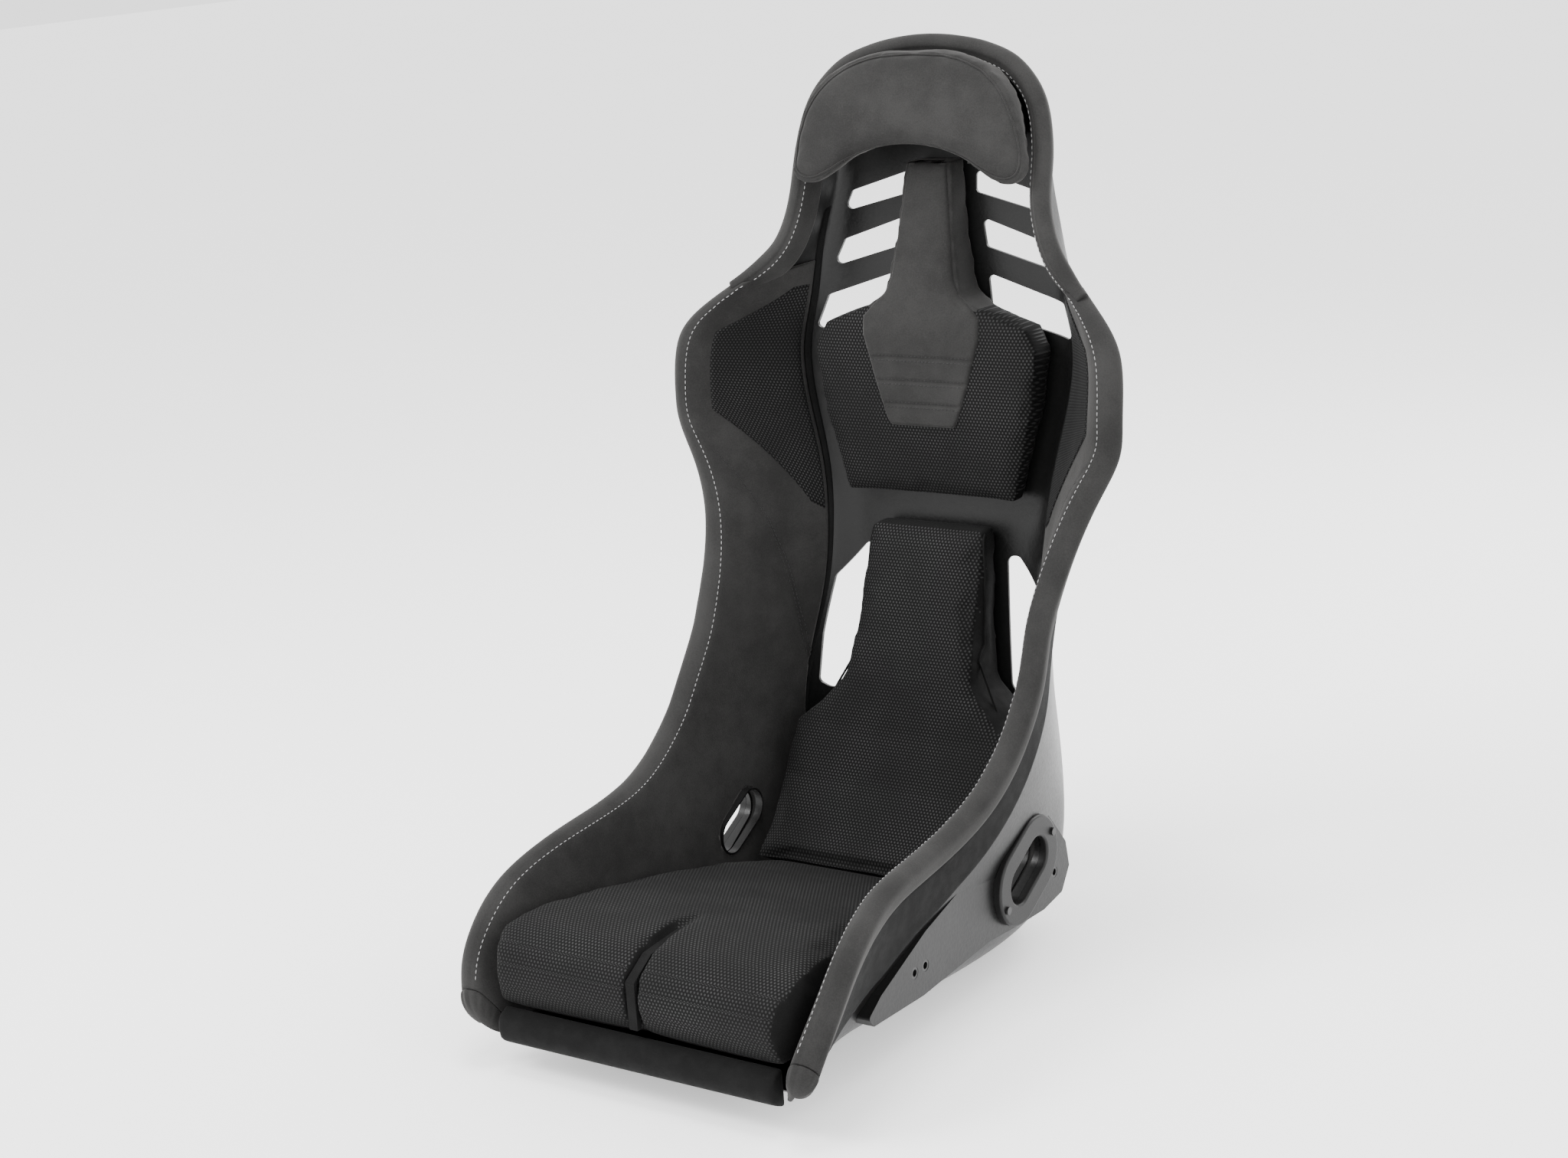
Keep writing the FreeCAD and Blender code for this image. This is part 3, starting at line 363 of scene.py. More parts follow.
# %% Stations
STATIONS = [
    ((-530, -44), (216, -546, -24), 188, 10, 0.35),
    ((-505, -45), (226, -532, 12), 165, 36, 0.35),
    ((-470, -47), (230, -504, 48), 145, 56, 0.35),
    ((-415, -53), (226, -455, 85), 126, 65, 0.35),
    ((-345, -61), (215, -382, 108), 118, 70, 0.35),
    ((-265, -70), (211, -312, 116), 116, 72, 0.35),
    ((-175, -79), (213, -240, 126), 115, 74, 0.35),
    ((-85, -85), (220, -178, 148), 114, 75, 0.35),
    ((0, -81), (225, -130, 180), 113, 76, 0.40),
    ((60, -52), (228, -97, 215), 112, 78, 0.55),
    ((90, 10), (228, -66, 256), 110, 78, 0.80),
    ((99, 95), (227, -45, 300), 106, 76, 0.95),
    ((106, 180), (230, -24, 340), 100, 72, 1.00),
    ((117, 265), (241, 1, 392), 98, 64, 1.05),
    ((130, 345), (262, 18, 446), 106, 58, 1.10),
    ((141, 425), (284, 25, 492), 122, 52, 1.15),
    ((150, 500), (289, 27, 535), 140, 48, 1.20),
    ((159, 570), (287, 35, 590), 150, 46, 1.20),
    ((166, 630), (266, 51, 632), 146, 40, 1.20),
    ((172, 685), (222, 80, 668), 140, 34, 1.20),
    ((178, 738), (184, 102, 703), 132, 28, 1.15),
    ((184, 790), (165, 116, 757), 124, 24, 1.10),
    ((190, 842), (162, 131, 808), 120, 22, 1.10),
    ((194, 885), (152, 145, 860), 108, 18, 1.10),
    ((193, 912), (132, 154, 892), 90, 14, 1.10),
    ((187, 928), (106, 160, 912), 66, 10, 1.10),
    ((178, 935), (72, 164, 924), 40, 6, 1.10),
]
MM = 0.001
LAST = len(STATIONS) - 1
WALL = 4 * MM


class Guide:
    """A smooth curve through evenly numbered values."""

    def __init__(self, values, marks=None):
        self.values = np.array(values, float)
        self.marks = np.arange(len(values), dtype=float) if marks is None else np.array(marks, float)
        steps = np.diff(self.marks)
        count = len(self.marks)
        system = np.eye(count)
        load = np.zeros_like(self.values)
        for i in range(1, count - 1):
            system[i, i - 1:i + 2] = steps[i - 1] / 6, (steps[i - 1] + steps[i]) / 3, steps[i] / 6
            rise = (self.values[i + 1] - self.values[i]) / steps[i]
            load[i] = rise - (self.values[i] - self.values[i - 1]) / steps[i - 1]
        self.bends = np.linalg.solve(system, load)

    def at(self, mark):
        i = int(np.clip(np.searchsorted(self.marks, mark) - 1, 0, len(self.marks) - 2))
        step = self.marks[i + 1] - self.marks[i]
        b = (mark - self.marks[i]) / step
        a = 1 - b
        ends = a * self.values[i] + b * self.values[i + 1]
        curved = (a ** 3 - a) * self.bends[i] + (b ** 3 - b) * self.bends[i + 1]
        return ends + curved * step * step / 6


SPINE = Guide([[y * MM, z * MM] for (y, z), *_ in STATIONS])
RIM = Guide([[c * MM for c in row[1]] for row in STATIONS])
FORM = Guide([[row[2] * MM, row[3] * MM, row[4]] for row in STATIONS])


class Section:
    """One slice of the shell: distances run along its inside from the middle to the rim."""

    def __init__(self, station):
        self.middle = SPINE.at(station)
        rim = RIM.at(station)
        self.flat, radius, foot = FORM.at(station)
        rise = rim[1:] - self.middle
        height = float(np.hypot(*rise))
        self.up = rise / height
        self.radius = min(radius, 0.75 * height)
        across, above = rim[0] - self.flat, height - self.radius
        square = across * across + above * above
        self.wall_length = math.sqrt(square - self.radius ** 2)
        self.sine = (above * self.wall_length + across * self.radius) / square
        self.cosine = (across * self.wall_length - above * self.radius) / square
        arc = self.radius * math.atan2(self.sine, self.cosine)
        self.corner_end = self.flat + arc
        self.length = self.corner_end + self.wall_length
        self.foot = self.flat + foot * arc

    def point(self, along, offset, side=1):
        if along <= self.flat:
            x, rise = along, offset
        elif along <= self.corner_end:
            angle = (along - self.flat) / self.radius
            reach = self.radius - offset
            x, rise = self.flat + reach * math.sin(angle), self.radius - reach * math.cos(angle)
        else:
            past, reach = along - self.corner_end, self.radius - offset
            x = self.flat + reach * self.sine + past * self.cosine
            rise = self.radius - reach * self.cosine + past * self.sine
        y, z = self.middle + self.up * rise
        return Vector((side * x, y, z))


print("rim runs from", RIM.at(0).round(3), "to", RIM.at(LAST).round(3))

# %% [markdown]
# ## Building with grids
# A bolster is a closed tube whose profile changes along the rim. A primitive pushed about
# by hand can't follow that line, so it is laid out point by point: one ring of points per
# slice, joined into quads and closed at both ends. The cloth's own UV map is measured along
# the surface in metres, so that patterns keep their size.


# %% Ring and sheet builders
def line_lengths(points):
    total, marks = 0.0, [0.0]
    for first, second in zip(points, points[1:]):
        total += (second - first).length
        marks.append(total)
    return marks


def finish_piece(piece, body, slot, finish, *replaced):
    piece.data.materials.clear()
    piece.data.materials.append(finish)
    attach(piece, body)
    if replaced:
        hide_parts(*replaced)
    return piece


def mesh_piece(name, points, faces, uvs=None, smooth=True):
    data = bpy.data.meshes.new(name)
    data.from_pydata([tuple(p) for p in points], [], faces)
    if uvs is not None:
        layer = data.uv_layers.new(name="cloth")
        for loop in data.loops:
            layer.data[loop.index].uv = uvs[loop.vertex_index]
    data.polygons.foreach_set("use_smooth", [smooth] * len(data.polygons))
    piece = bpy.data.objects.new(name, data)
    bpy.context.scene.collection.objects.link(piece)
    outward(piece)
    return piece


def outward(piece):
    """Turns every face outwards."""
    work = bmesh.new()
    work.from_mesh(piece.data)
    bmesh.ops.recalc_face_normals(work, faces=work.faces)
    work.to_mesh(piece.data)
    work.free()


def tube(name, rings):
    """A closed piece from rings of points, each ring a closed loop."""
    count = len(rings[0])
    middle = [ring[0] for ring in rings]
    along = line_lengths(middle)
    points, uvs, faces = [], [], []
    for ring, v in zip(rings, along):
        round_it = line_lengths(ring)
        points += ring
        uvs += [(u, v) for u in round_it]
    for row in range(len(rings) - 1):
        for i in range(count):
            j = (i + 1) % count
            a, b = row * count, (row + 1) * count
            faces.append((a + i, a + j, b + j, b + i))
    for row, ring in ((0, rings[0]), (len(rings) - 1, rings[-1])):
        centre = sum(ring, Vector()) / count
        points.append(centre)
        uvs.append((0.0, along[row]))
        hub = len(points) - 1
        for i in range(count):
            faces.append((row * count + i, row * count + (i + 1) % count, hub))
    return mesh_piece(name, points, faces, uvs)


def smooth_line(points, count):
    """Evenly spaced points on a smooth curve through the given ones."""
    points = [Vector(p) for p in points]
    marks = line_lengths(points)
    guide = Guide([list(p) for p in points], marks)
    fine = [Vector(guide.at(marks[-1] * i / (6 * count))) for i in range(6 * count + 1)]
    lengths = np.array(line_lengths(fine))
    wanted = np.linspace(0, lengths[-1], count)
    columns = np.array([list(p) for p in fine])
    return [Vector([np.interp(w, lengths, columns[:, k]) for k in range(columns.shape[1])]) for w in wanted]


def stations_between(first, last, steps):
    count = max(2, int(round((last - first) * steps)))
    return [first + (last - first) * i / count for i in range(count + 1)]


# %% [markdown]
# ## Side bolsters
# Each is a foam roll glued to the side wall, thin at its foot, fullest just inside the
# rim, and folded over the rim to the outside. A seam runs along the crest and pulls the
# suede down into a fine groove; a double-stitched seam crosses at the waist.

# %% Bolster profile
BOLSTER_FOOT = 4 * MM
BOLSTER_CHEEK = 11 * MM
BOLSTER_CROWN = 20 * MM
OVER_RIM = 13 * MM
LIP_DOWN = 12 * MM
CONTACT_GAP = 0.8 * MM
SEAM_PAST = 7.5 * MM
SEAM_DEEP = 1.6 * MM
SEAM_WIDE = 2.2 * MM
BOLSTER_FIRST = 0.35
BOLSTER_LAST = 18.95
CROSS_SEAMS = [(14.6, 1.0), (13.6, 0.62), (12.6, 0.3), (11.7, 0.0)]
SLIM_FROM, SLIM_BY = 17.2, 0.34
RING_POINTS = 72


def slimness(station):
    """The roll slims down over its last stations, to meet the roll over the head."""
    share = min(1.0, max(0.0, (station - SLIM_FROM) / (BOLSTER_LAST - SLIM_FROM)))
    return 1 - SLIM_BY * share * share * (3 - 2 * share)


def cover_line(width, count, slim=1.0):
    crown = slim * min(BOLSTER_CROWN, 0.42 * width)
    cheek = min(BOLSTER_CHEEK, 0.8 * crown)
    low = min(BOLSTER_FOOT, 0.5 * crown)
    over = slim * OVER_RIM
    points = [
        (-width, low), (-0.82 * width, low + 0.55 * (cheek - low)), (-0.62 * width, cheek),
        (-0.40 * width, 0.5 * (cheek + crown)), (-0.20 * width, 0.95 * crown), (-0.05 * width, crown),
        (0.5 * over, 0.80 * crown), (0.9 * over, 0.38 * crown), (over, -0.5 * WALL),
        (0.72 * over, -WALL - 5.5 * slim * MM), (0.0, -WALL - 7.5 * slim * MM),
        (-LIP_DOWN, -WALL - 5.5 * slim * MM),
        (-LIP_DOWN - 2 * MM, -WALL - 1.2 * MM),
    ]
    return [(p.x, p.y) for p in smooth_line([(x, y, 0) for x, y in points], count)]


def contact_line(width, count=16):
    over = CONTACT_GAP
    path = [(-LIP_DOWN - 1 * MM, -WALL - CONTACT_GAP), (over, -WALL - CONTACT_GAP), (over, CONTACT_GAP)]
    path += [(-width * i / count, CONTACT_GAP) for i in range(1, count)]
    return path + [(-width, CONTACT_GAP)]


def seam_share(station):
    """How far up from foot to rim the waist seam stands at this station."""
    marks = [s for s, _ in reversed(CROSS_SEAMS)]
    return float(np.interp(station, marks, [f for _, f in reversed(CROSS_SEAMS)]))


def bolster_ring(station, side, count):
    section = Section(station)
    width = section.length - section.foot
    line = cover_line(width, count, slimness(station))
    ring = []
    for past, offset in line:
        inside = past <= 0.6 * OVER_RIM
        if offset > 0:
            near = (past - SEAM_PAST) / SEAM_WIDE
            offset -= SEAM_DEEP * math.exp(-near * near)
            share = 1 + past / width
            if 11.6 < station < 14.7 and inside:
                reach = (seam_share(station) - share) * width
                for shift, deep in ((0.0, 1.6 * MM), (7 * MM, 0.9 * MM), (-7 * MM, 0.9 * MM)):
                    offset -= deep * math.exp(-((reach - shift) / (2.0 * MM)) ** 2)
        ring.append(section.point(section.length + past, offset, side))
    for past, offset in contact_line(width):
        ring.append(section.point(section.length + past, offset, side))
    return ring


# %% [markdown]
# Stitches are little capsules of thread. One is shaped from a cylinder with rounded ends
# and copied along a line that is laid on the cloth.


# %% Thread
def stitch_row(name, points, normals, pitch, length, radius, body, slot, finish):
    """Short threads end to end along a line, lying on the cloth."""
    marks = line_lengths(points)
    columns = np.array([list(p) for p in points])
    normal_columns = np.array([list(n) for n in normals])
    verts, faces = [], []
    sides, hoops = 6, 5
    total = marks[-1]
    for k in range(int(total / pitch)):
        start = k * pitch
        ring_start = len(verts)
        for h in range(hoops):
            t = h / (hoops - 1)
            mark = start + t * length
            centre = Vector([np.interp(mark, marks, columns[:, c]) for c in range(3)])
            up = Vector([np.interp(mark, marks, normal_columns[:, c]) for c in range(3)]).normalized()
            ahead = Vector([np.interp(mark + 1e-4, marks, columns[:, c]) for c in range(3)])
            behind = Vector([np.interp(mark - 1e-4, marks, columns[:, c]) for c in range(3)])
            run = (ahead - behind).normalized()
            side_way = run.cross(up).normalized()
            swell = math.sin(math.pi * (0.12 + 0.76 * t))
            for i in range(sides):
                angle = 2 * math.pi * i / sides
                reach = radius * swell
                height = math.sin(angle) * reach + radius * 0.5 * swell
                verts.append(centre + side_way * math.cos(angle) * reach + up * height)
        for h in range(hoops - 1):
            for i in range(sides):
                j = (i + 1) % sides
                a, b = ring_start + h * sides, ring_start + (h + 1) * sides
                faces.append((a + i, a + j, b + j, b + i))
        faces.append(tuple(ring_start + i for i in range(sides)))
        faces.append(tuple(ring_start + (hoops - 1) * sides + i for i in range(sides)))
    return finish_piece(mesh_piece(name, verts, faces), body, slot, finish)


def cloth_finder(piece):
    return BVHTree.FromObject(piece, bpy.context.evaluated_depsgraph_get())


def laid_on(finder, points):
    """The nearest points of the cloth and its normals there."""
    places, ways = [], []
    for point in points:
        place, way, _, _ = finder.find_nearest(point)
        places.append(place)
        ways.append(way)
    return places, ways


# %% The two bolsters
FINE_STEPS = 16
bolsters = {}
SIDES = (("left", -1), ("right", 1))
for side_name, side in SIDES:
    slices = stations_between(BOLSTER_FIRST, BOLSTER_LAST, FINE_STEPS)
    rings = [bolster_ring(station, side, RING_POINTS) for station in slices]
    bolsters[side_name] = tube("side_bolster_cover_" + side_name, rings)
    print(bolsters[side_name].name, len(bolsters[side_name].data.polygons), "faces")

# %% [markdown]
# The lap belt passes through each bolster. A rounded bar as wide as the sleeve is taken out
# of the closed roll with a Boolean, which leaves a clean mouth for the sleeve.

# %% Belt openings in the bolsters
SLOT_TILT = math.radians(27)
SLOT_PLACE = Vector((0, -0.074, 0.031))
SLOT_LENGTH, SLOT_WIDTH, SLEEVE_ALLOWANCE = 0.090, 0.044, 0.0046
BAR_INNER, BAR_OUTER = 0.12, 0.26


def stadium_bar(name, length, width, x_low, x_high):
    """A rounded bar along X with the tilted outline of the belt slot."""
    half = (length - width) / 2
    outline = []
    for centre, start in ((half, -90), (-half, 90)):
        for i in range(17):
            angle = math.radians(start + 180 * i / 16)
            outline.append((centre + width / 2 * math.cos(angle), width / 2 * math.sin(angle)))
    points, count = [], len(outline)
    for x in (x_low, x_high):
        for a, b in outline:
            y = a * math.cos(SLOT_TILT) - b * math.sin(SLOT_TILT)
            z = a * math.sin(SLOT_TILT) + b * math.cos(SLOT_TILT)
            points.append(Vector((x, SLOT_PLACE.y + y, SLOT_PLACE.z + z)))
    faces = [(i, (i + 1) % count, count + (i + 1) % count, count + i) for i in range(count)]
    faces += [tuple(range(count)), tuple(range(count, 2 * count))]
    return mesh_piece(name, points, faces, smooth=False)


def apply_modifier(piece, kind, **settings):
    bpy.ops.object.select_all(action="DESELECT")
    bpy.context.view_layer.objects.active = piece
    piece.select_set(True)
    modifier = piece.modifiers.new(kind.lower(), kind)
    for key, value in settings.items():
        setattr(modifier, key, value)
    bpy.ops.object.modifier_apply(modifier=modifier.name)


for side_name, side in SIDES:
    low, high = sorted((side * BAR_INNER, side * BAR_OUTER))
    bar = stadium_bar("slot_bar", SLOT_LENGTH + SLEEVE_ALLOWANCE, SLOT_WIDTH + SLEEVE_ALLOWANCE, low, high)
    apply_modifier(bolsters[side_name], "BOOLEAN", operation="DIFFERENCE", object=bar, solver="EXACT")
    bpy.data.objects.remove(bar)
    finish_piece(bolsters[side_name], "seat", "suede", suede, "side_bolster_" + side_name)

# %% Crest stitching
RIM_PITCH, RIM_STITCH, THREAD = 0.0068, 0.0042, 0.00055
STITCH_PAST = SEAM_PAST - 4.2 * MM
PROFILES = {}


def bolster_height(section, along):
    """How far the bolster stands off the shell at this distance from the middle."""
    width = section.length - section.foot
    key = round(width, 5)
    if key not in PROFILES:
        PROFILES[key] = np.array([(p, o) for p, o in cover_line(width, 90) if o > 0]).T
    return float(np.interp(along - section.length, *PROFILES[key]))


for side_name, side in SIDES:
    finder = cloth_finder(bolsters[side_name])
    path = []
    for station in stations_between(0.6, 18.9, 12):
        section = Section(station)
        along = section.length + STITCH_PAST
        path.append(section.point(along, bolster_height(section, along), side))
    places, ways = laid_on(finder, path)
    stitch_row("crest_stitches_" + side_name, places, ways, RIM_PITCH, RIM_STITCH, THREAD,
               "seat", "suede", grey_thread)
    for number, shift in enumerate((-4 * MM, 4 * MM), start=1):
        path = []
        for station in stations_between(11.75, 14.5, 14):
            section = Section(station)
            width = section.length - section.foot
            along = section.foot + seam_share(station) * width + shift
            path.append(section.point(along, BOLSTER_CHEEK, side))
        places, ways = laid_on(finder, path)
        stitch_row("waist_stitches_%d_%s" % (number, side_name), places, ways, 0.006, 0.0038, THREAD * 0.9,
                   "seat", "suede", black_thread)

# %% [markdown]
# ## Panels and bands on the bolsters
# The kite of spacer mesh at each shoulder, the velour band on the outside below the rim,
# and the thin velour strip at each foot are sheets sewn down along their edges, so each is
# a thin sheet whose border curls into the surface.


# %% Sewn-down sheets
def sewn_sheet(name, first, last, edges, height, side, thickness, steps=8, count=26, edge=3.0 * MM):
    """A thin closed sheet between two edges; its border dives towards the cloth below."""
    stations = stations_between(first, last, steps)
    upper, lower = [], []
    marks = line_lengths([Section(s).point(edges(Section(s), s)[0], 0, side) for s in stations])
    for station, mark in zip(stations, marks):
        section = Section(station)
        start, end = edges(section, station)
        end_near = min(mark, marks[-1] - mark)
        top, under = [], []
        for i in range(count):
            along = start + (end - start) * i / (count - 1)
            side_near = min(abs(along - start), abs(end - along))
            near = min(side_near, end_near)
            swell = min(1.0, near / edge)
            swell = math.sqrt(max(0.0, 1 - (1 - swell) ** 2))
            base = height(section, along)
            outward_sign = 1 if thickness > 0 else -1
            top.append(section.point(along, base + thickness * swell + outward_sign * 0.1 * MM, side))
            under.append(section.point(along, base - outward_sign * 0.3 * MM, side))
        upper.append(top)
        lower.append(under)
    rings = [top + under[::-1] for top, under in zip(upper, lower)]
    return tube(name, rings)


def read_pairs(pairs, station):
    return float(np.interp(station, [a for a, _ in pairs], [b for _, b in pairs]))


BAND_WIDTHS = [
    (0.4, 32), (1, 44), (2, 70), (3, 88), (4, 84), (5, 66), (6, 54), (7, 50), (8, 48), (12, 44), (18, 38),
]
STRIP_WIDTHS = [(10.5, 7), (14, 8), (16, 10), (20, 10)]
PANEL_SHARE = [(14.2, 0.12), (15.6, 0.84), (17.4, 0.84), (18.4, 0.2)]


def band_edges(section, station):
    top = section.length - LIP_DOWN + 1 * MM
    return top - read_pairs(BAND_WIDTHS, station) * MM, top


def strip_edges(section, station):
    top = section.foot - 1 * MM
    return top - read_pairs(STRIP_WIDTHS, station) * MM, top


def tab_edges(section, station):
    return section.foot - 16 * MM, section.foot - 2 * MM


def panel_edges(section, station):
    start = section.foot + 4 * MM
    return start, start + read_pairs(PANEL_SHARE, station) * (section.length - section.foot - 8 * MM)


for side_name, side in SIDES:
    band = sewn_sheet("outer_velour_band_" + side_name, 0.6, 18.0, band_edges,
                      lambda section, along: -WALL - 1.1 * MM, side, -2.4 * MM, steps=6, count=18)
    finish_piece(band, "seat", "velour", velour, "outer_band_" + side_name)
    strip = sewn_sheet("inner_velour_strip_" + side_name, 10.6, 20.2, strip_edges,
                       lambda section, along: 0.6 * MM, side, 2.2 * MM, steps=8, count=8)
    finish_piece(strip, "seat", "velour", velour, "inner_strip_" + side_name)
    tab = sewn_sheet("window_tape_" + side_name, 10.15, 10.45, tab_edges,
                     lambda section, along: 0.6 * MM, side, 2.0 * MM, steps=40, count=8, edge=1.5 * MM)
    finish_piece(tab, "seat", "velour", tape, "window_tab_" + side_name)
    panel = sewn_sheet("shoulder_mesh_" + side_name, 14.2, 18.4, panel_edges, bolster_height, side, 1.6 * MM,
                       steps=14, count=40)
    finish_piece(panel, "seat", "mesh", mesh, "shoulder_panel_" + side_name)

# %% [markdown]
# ## The rim over the head
# From shoulder to shoulder the rim carries a slimmer roll of the same suede, with the same
# crest seam. Its slices stand square to the rim and flare outwards a little.

# %% Head rim
FACE_LEAN, FLARE = math.radians(17.8), math.radians(27.0)
FACE_NORMAL = Vector((0, -math.cos(FACE_LEAN), math.sin(FACE_LEAN)))
HEAD_START = 18.7
HEAD_SLICES = 220
HEAD_TAPER, HEAD_END = 16, 0.74
HEAD_ROLL = [
    (-26, 4.5), (-18, 9.0), (-9, 12.5), (0, 13.0), (6, 11.0), (10.5, 6.0), (11.5, -2.0), (9, -8.0),
    (2, -11.0), (-6, -10.5), (-9, -6.0),
]
HEAD_CENTRE = Vector((0, 0.150, 0.820))


def head_path():
    marks = [HEAD_START] + [19.5 + 0.25 * i for i in range(27)]
    right = [Vector(RIM.at(min(mark, LAST))) for mark in marks]
    top = right[-1]
    crown = Vector((0, 178 * MM, 935 * MM))
    for x in (48 * MM, 24 * MM, 0):
        share = (x / top.x) ** 2
        right.append(Vector((x, top.y + (crown.y - 14 * MM - top.y) * 0.35 * (1 - share),
                             top.z + 9 * MM * (1 - share))))
    left = [Vector((-p.x, p.y, p.z)) for p in reversed(right[:-1])]
    return right + left


def head_frames(count):
    path = smooth_line(head_path(), count)
    frames = []
    for i, point in enumerate(path):
        tangent = (path[min(i + 1, count - 1)] - path[max(i - 1, 0)]).normalized()
        outward_way = FACE_NORMAL.cross(tangent)
        if outward_way.dot(point - HEAD_CENTRE) < 0:
            outward_way = -outward_way
        outward_way.normalize()
        way_out = FACE_NORMAL * math.cos(FLARE) + outward_way * math.sin(FLARE)
        inward = FACE_NORMAL * math.sin(FLARE) - outward_way * math.cos(FLARE)
        frames.append((point, way_out, inward))
    return frames


roll_line = smooth_line([(x * MM, y * MM, 0) for x, y in HEAD_ROLL], 46)
contact = [(-8 * MM, -WALL - 1 * MM), (1 * MM, -WALL - 1 * MM), (1 * MM, 2.4 * MM), (-12 * MM, 2.4 * MM),
           (-26 * MM, 2.4 * MM)]
head_rings, head_crest = [], []
for i, (point, way_out, inward) in enumerate(head_frames(HEAD_SLICES)):
    share = min(1.0, min(i, HEAD_SLICES - 1 - i) / HEAD_TAPER)
    slim = HEAD_END + (1 - HEAD_END) * share * share * (3 - 2 * share)
    ring = []
    for spot in roll_line:
        near = (spot.x - 5.0 * MM) / SEAM_WIDE
        sink = 1.4 * MM * math.exp(-near * near) if spot.y > 0 else 0.0
        ring.append(point + way_out * spot.x * slim + inward * (spot.y * slim - sink))
    ring += [point + way_out * past + inward * offset for past, offset in contact]
    head_rings.append(ring)
    head_crest.append(point + way_out * 1.2 * MM + inward * 13 * MM)
head_roll = tube("head_rim_cover", head_rings)
finish_piece(head_roll, "seat", "suede", suede, "head_rim_bolster")
places, ways = laid_on(cloth_finder(head_roll), head_crest[2:-2])
stitch_row("head_rim_stitches", places, ways, RIM_PITCH, RIM_STITCH, THREAD, "seat", "suede", grey_thread)

# %% [markdown]
# ## Pads
# A pad is foam in a sewn cover: flat where it rests and crowned where it shows. Each starts
# from the CAD solid, is remeshed into even small faces and is blown up a little by a cloth
# simulation with gravity off. How far a point may move is capped, so that the pad keeps to
# its own room. Seams, channels and piping are pressed in or added afterwards.


# %% Padded covers
def copy_of(node, name):
    piece = bpy.data.objects.new(name, nodes[node].data.copy())
    bpy.context.scene.collection.objects.link(piece)
    work = bmesh.new()
    work.from_mesh(piece.data)
    bmesh.ops.remove_doubles(work, verts=work.verts, dist=1e-5)
    bmesh.ops.recalc_face_normals(work, faces=work.faces)
    work.to_mesh(piece.data)
    work.free()
    return piece


def coordinates(piece):
    flat = np.zeros(len(piece.data.vertices) * 3, np.float32)
    piece.data.vertices.foreach_get("co", flat)
    return flat.reshape(-1, 3).astype(float)


def set_coordinates(piece, spots):
    piece.data.vertices.foreach_set("co", spots.astype(np.float32).ravel())
    piece.data.update()


def normals_of(piece):
    flat = np.zeros(len(piece.data.vertices) * 3, np.float32)
    piece.data.vertices.foreach_get("normal", flat)
    return flat.reshape(-1, 3).astype(float)


SETTLE_FRAMES = 20


def blown_up(piece, voxel, pressure, cap, shrink):
    """Remeshes the piece and lets the air pressure of a cloth simulation round it."""
    apply_modifier(piece, "REMESH", mode="VOXEL", voxel_size=voxel)
    apply_modifier(piece, "SMOOTH", factor=0.5, iterations=3)
    start = coordinates(piece)
    start -= normals_of(piece) * shrink
    set_coordinates(piece, start)
    cloth = piece.modifiers.new("cloth", "CLOTH")
    cloth.settings.use_pressure = True
    cloth.settings.uniform_pressure_force = pressure
    cloth.settings.effector_weights.gravity = 0
    cloth.settings.tension_stiffness = 20
    cloth.settings.compression_stiffness = 20
    cloth.settings.shear_stiffness = 8
    for step in range(SETTLE_FRAMES):
        bpy.context.scene.frame_set(step + 1)
    bpy.context.view_layer.objects.active = piece
    bpy.ops.object.modifier_apply(modifier="cloth")
    bpy.context.scene.frame_set(1)
    moved = coordinates(piece) - start
    reach = np.linalg.norm(moved, axis=1, keepdims=True)
    limit = cap * np.tanh(reach / cap) / np.maximum(reach, 1e-9)
    set_coordinates(piece, start + moved * limit)
    apply_modifier(piece, "SMOOTH", factor=0.5, iterations=2)
    apply_modifier(piece, "SUBSURF", levels=1, render_levels=1)
    return piece


def press_line(piece, line, deep, wide):
    """Presses a seam into the cover along a line."""
    spots, ways = coordinates(piece), normals_of(piece)
    line = np.array([list(p) for p in line])
    nearest = np.full(len(spots), 1e9)
    for first, second in zip(line, line[1:]):
        run = second - first
        share = np.clip(((spots - first) @ run) / max(run @ run, 1e-12), 0, 1)
        nearest = np.minimum(nearest, np.linalg.norm(spots - first - share[:, None] * run, axis=1))
    sink = deep * np.exp(-(nearest / wide) ** 2)
    set_coordinates(piece, spots - ways * sink[:, None])


def front_line(piece, outline, count):
    """An outline given as (x, z) points, dropped onto the front of a piece along +Y."""
    finder = cloth_finder(piece)
    path = smooth_line([(x, z, 0) for x, z in outline], count)
    places, ways = [], []
    for spot in path:
        hit, way, _, _ = finder.ray_cast(Vector((spot.x, -1.2, spot.y)), Vector((0, 1, 0)))
        if hit is not None:
            places.append(hit)
            ways.append(way)
    return places, ways


def piping(name, line, radius, body, slot, finish, closed=False):
    """A sewn cord: a round tube swept along the line."""
    data = bpy.data.curves.new(name, "CURVE")
    data.dimensions = "3D"
    data.bevel_depth = radius
    data.bevel_resolution = 2
    data.use_fill_caps = True
    spline = data.splines.new("POLY")
    spline.points.add(len(line) - 1)
    for point, place in zip(spline.points, line):
        point.co = (*place, 1)
    spline.use_cyclic_u = closed
    carrier = bpy.data.objects.new(name + "_line", data)
    bpy.context.scene.collection.objects.link(carrier)
    ready = carrier.evaluated_get(bpy.context.evaluated_depsgraph_get())
    shape = bpy.data.meshes.new_from_object(ready)
    bpy.data.objects.remove(carrier)
    piece = bpy.data.objects.new(name, shape)
    bpy.context.scene.collection.objects.link(piece)
    shape.polygons.foreach_set("use_smooth", [True] * len(shape.polygons))
    outward(piece)
    return finish_piece(piece, body, slot, finish)


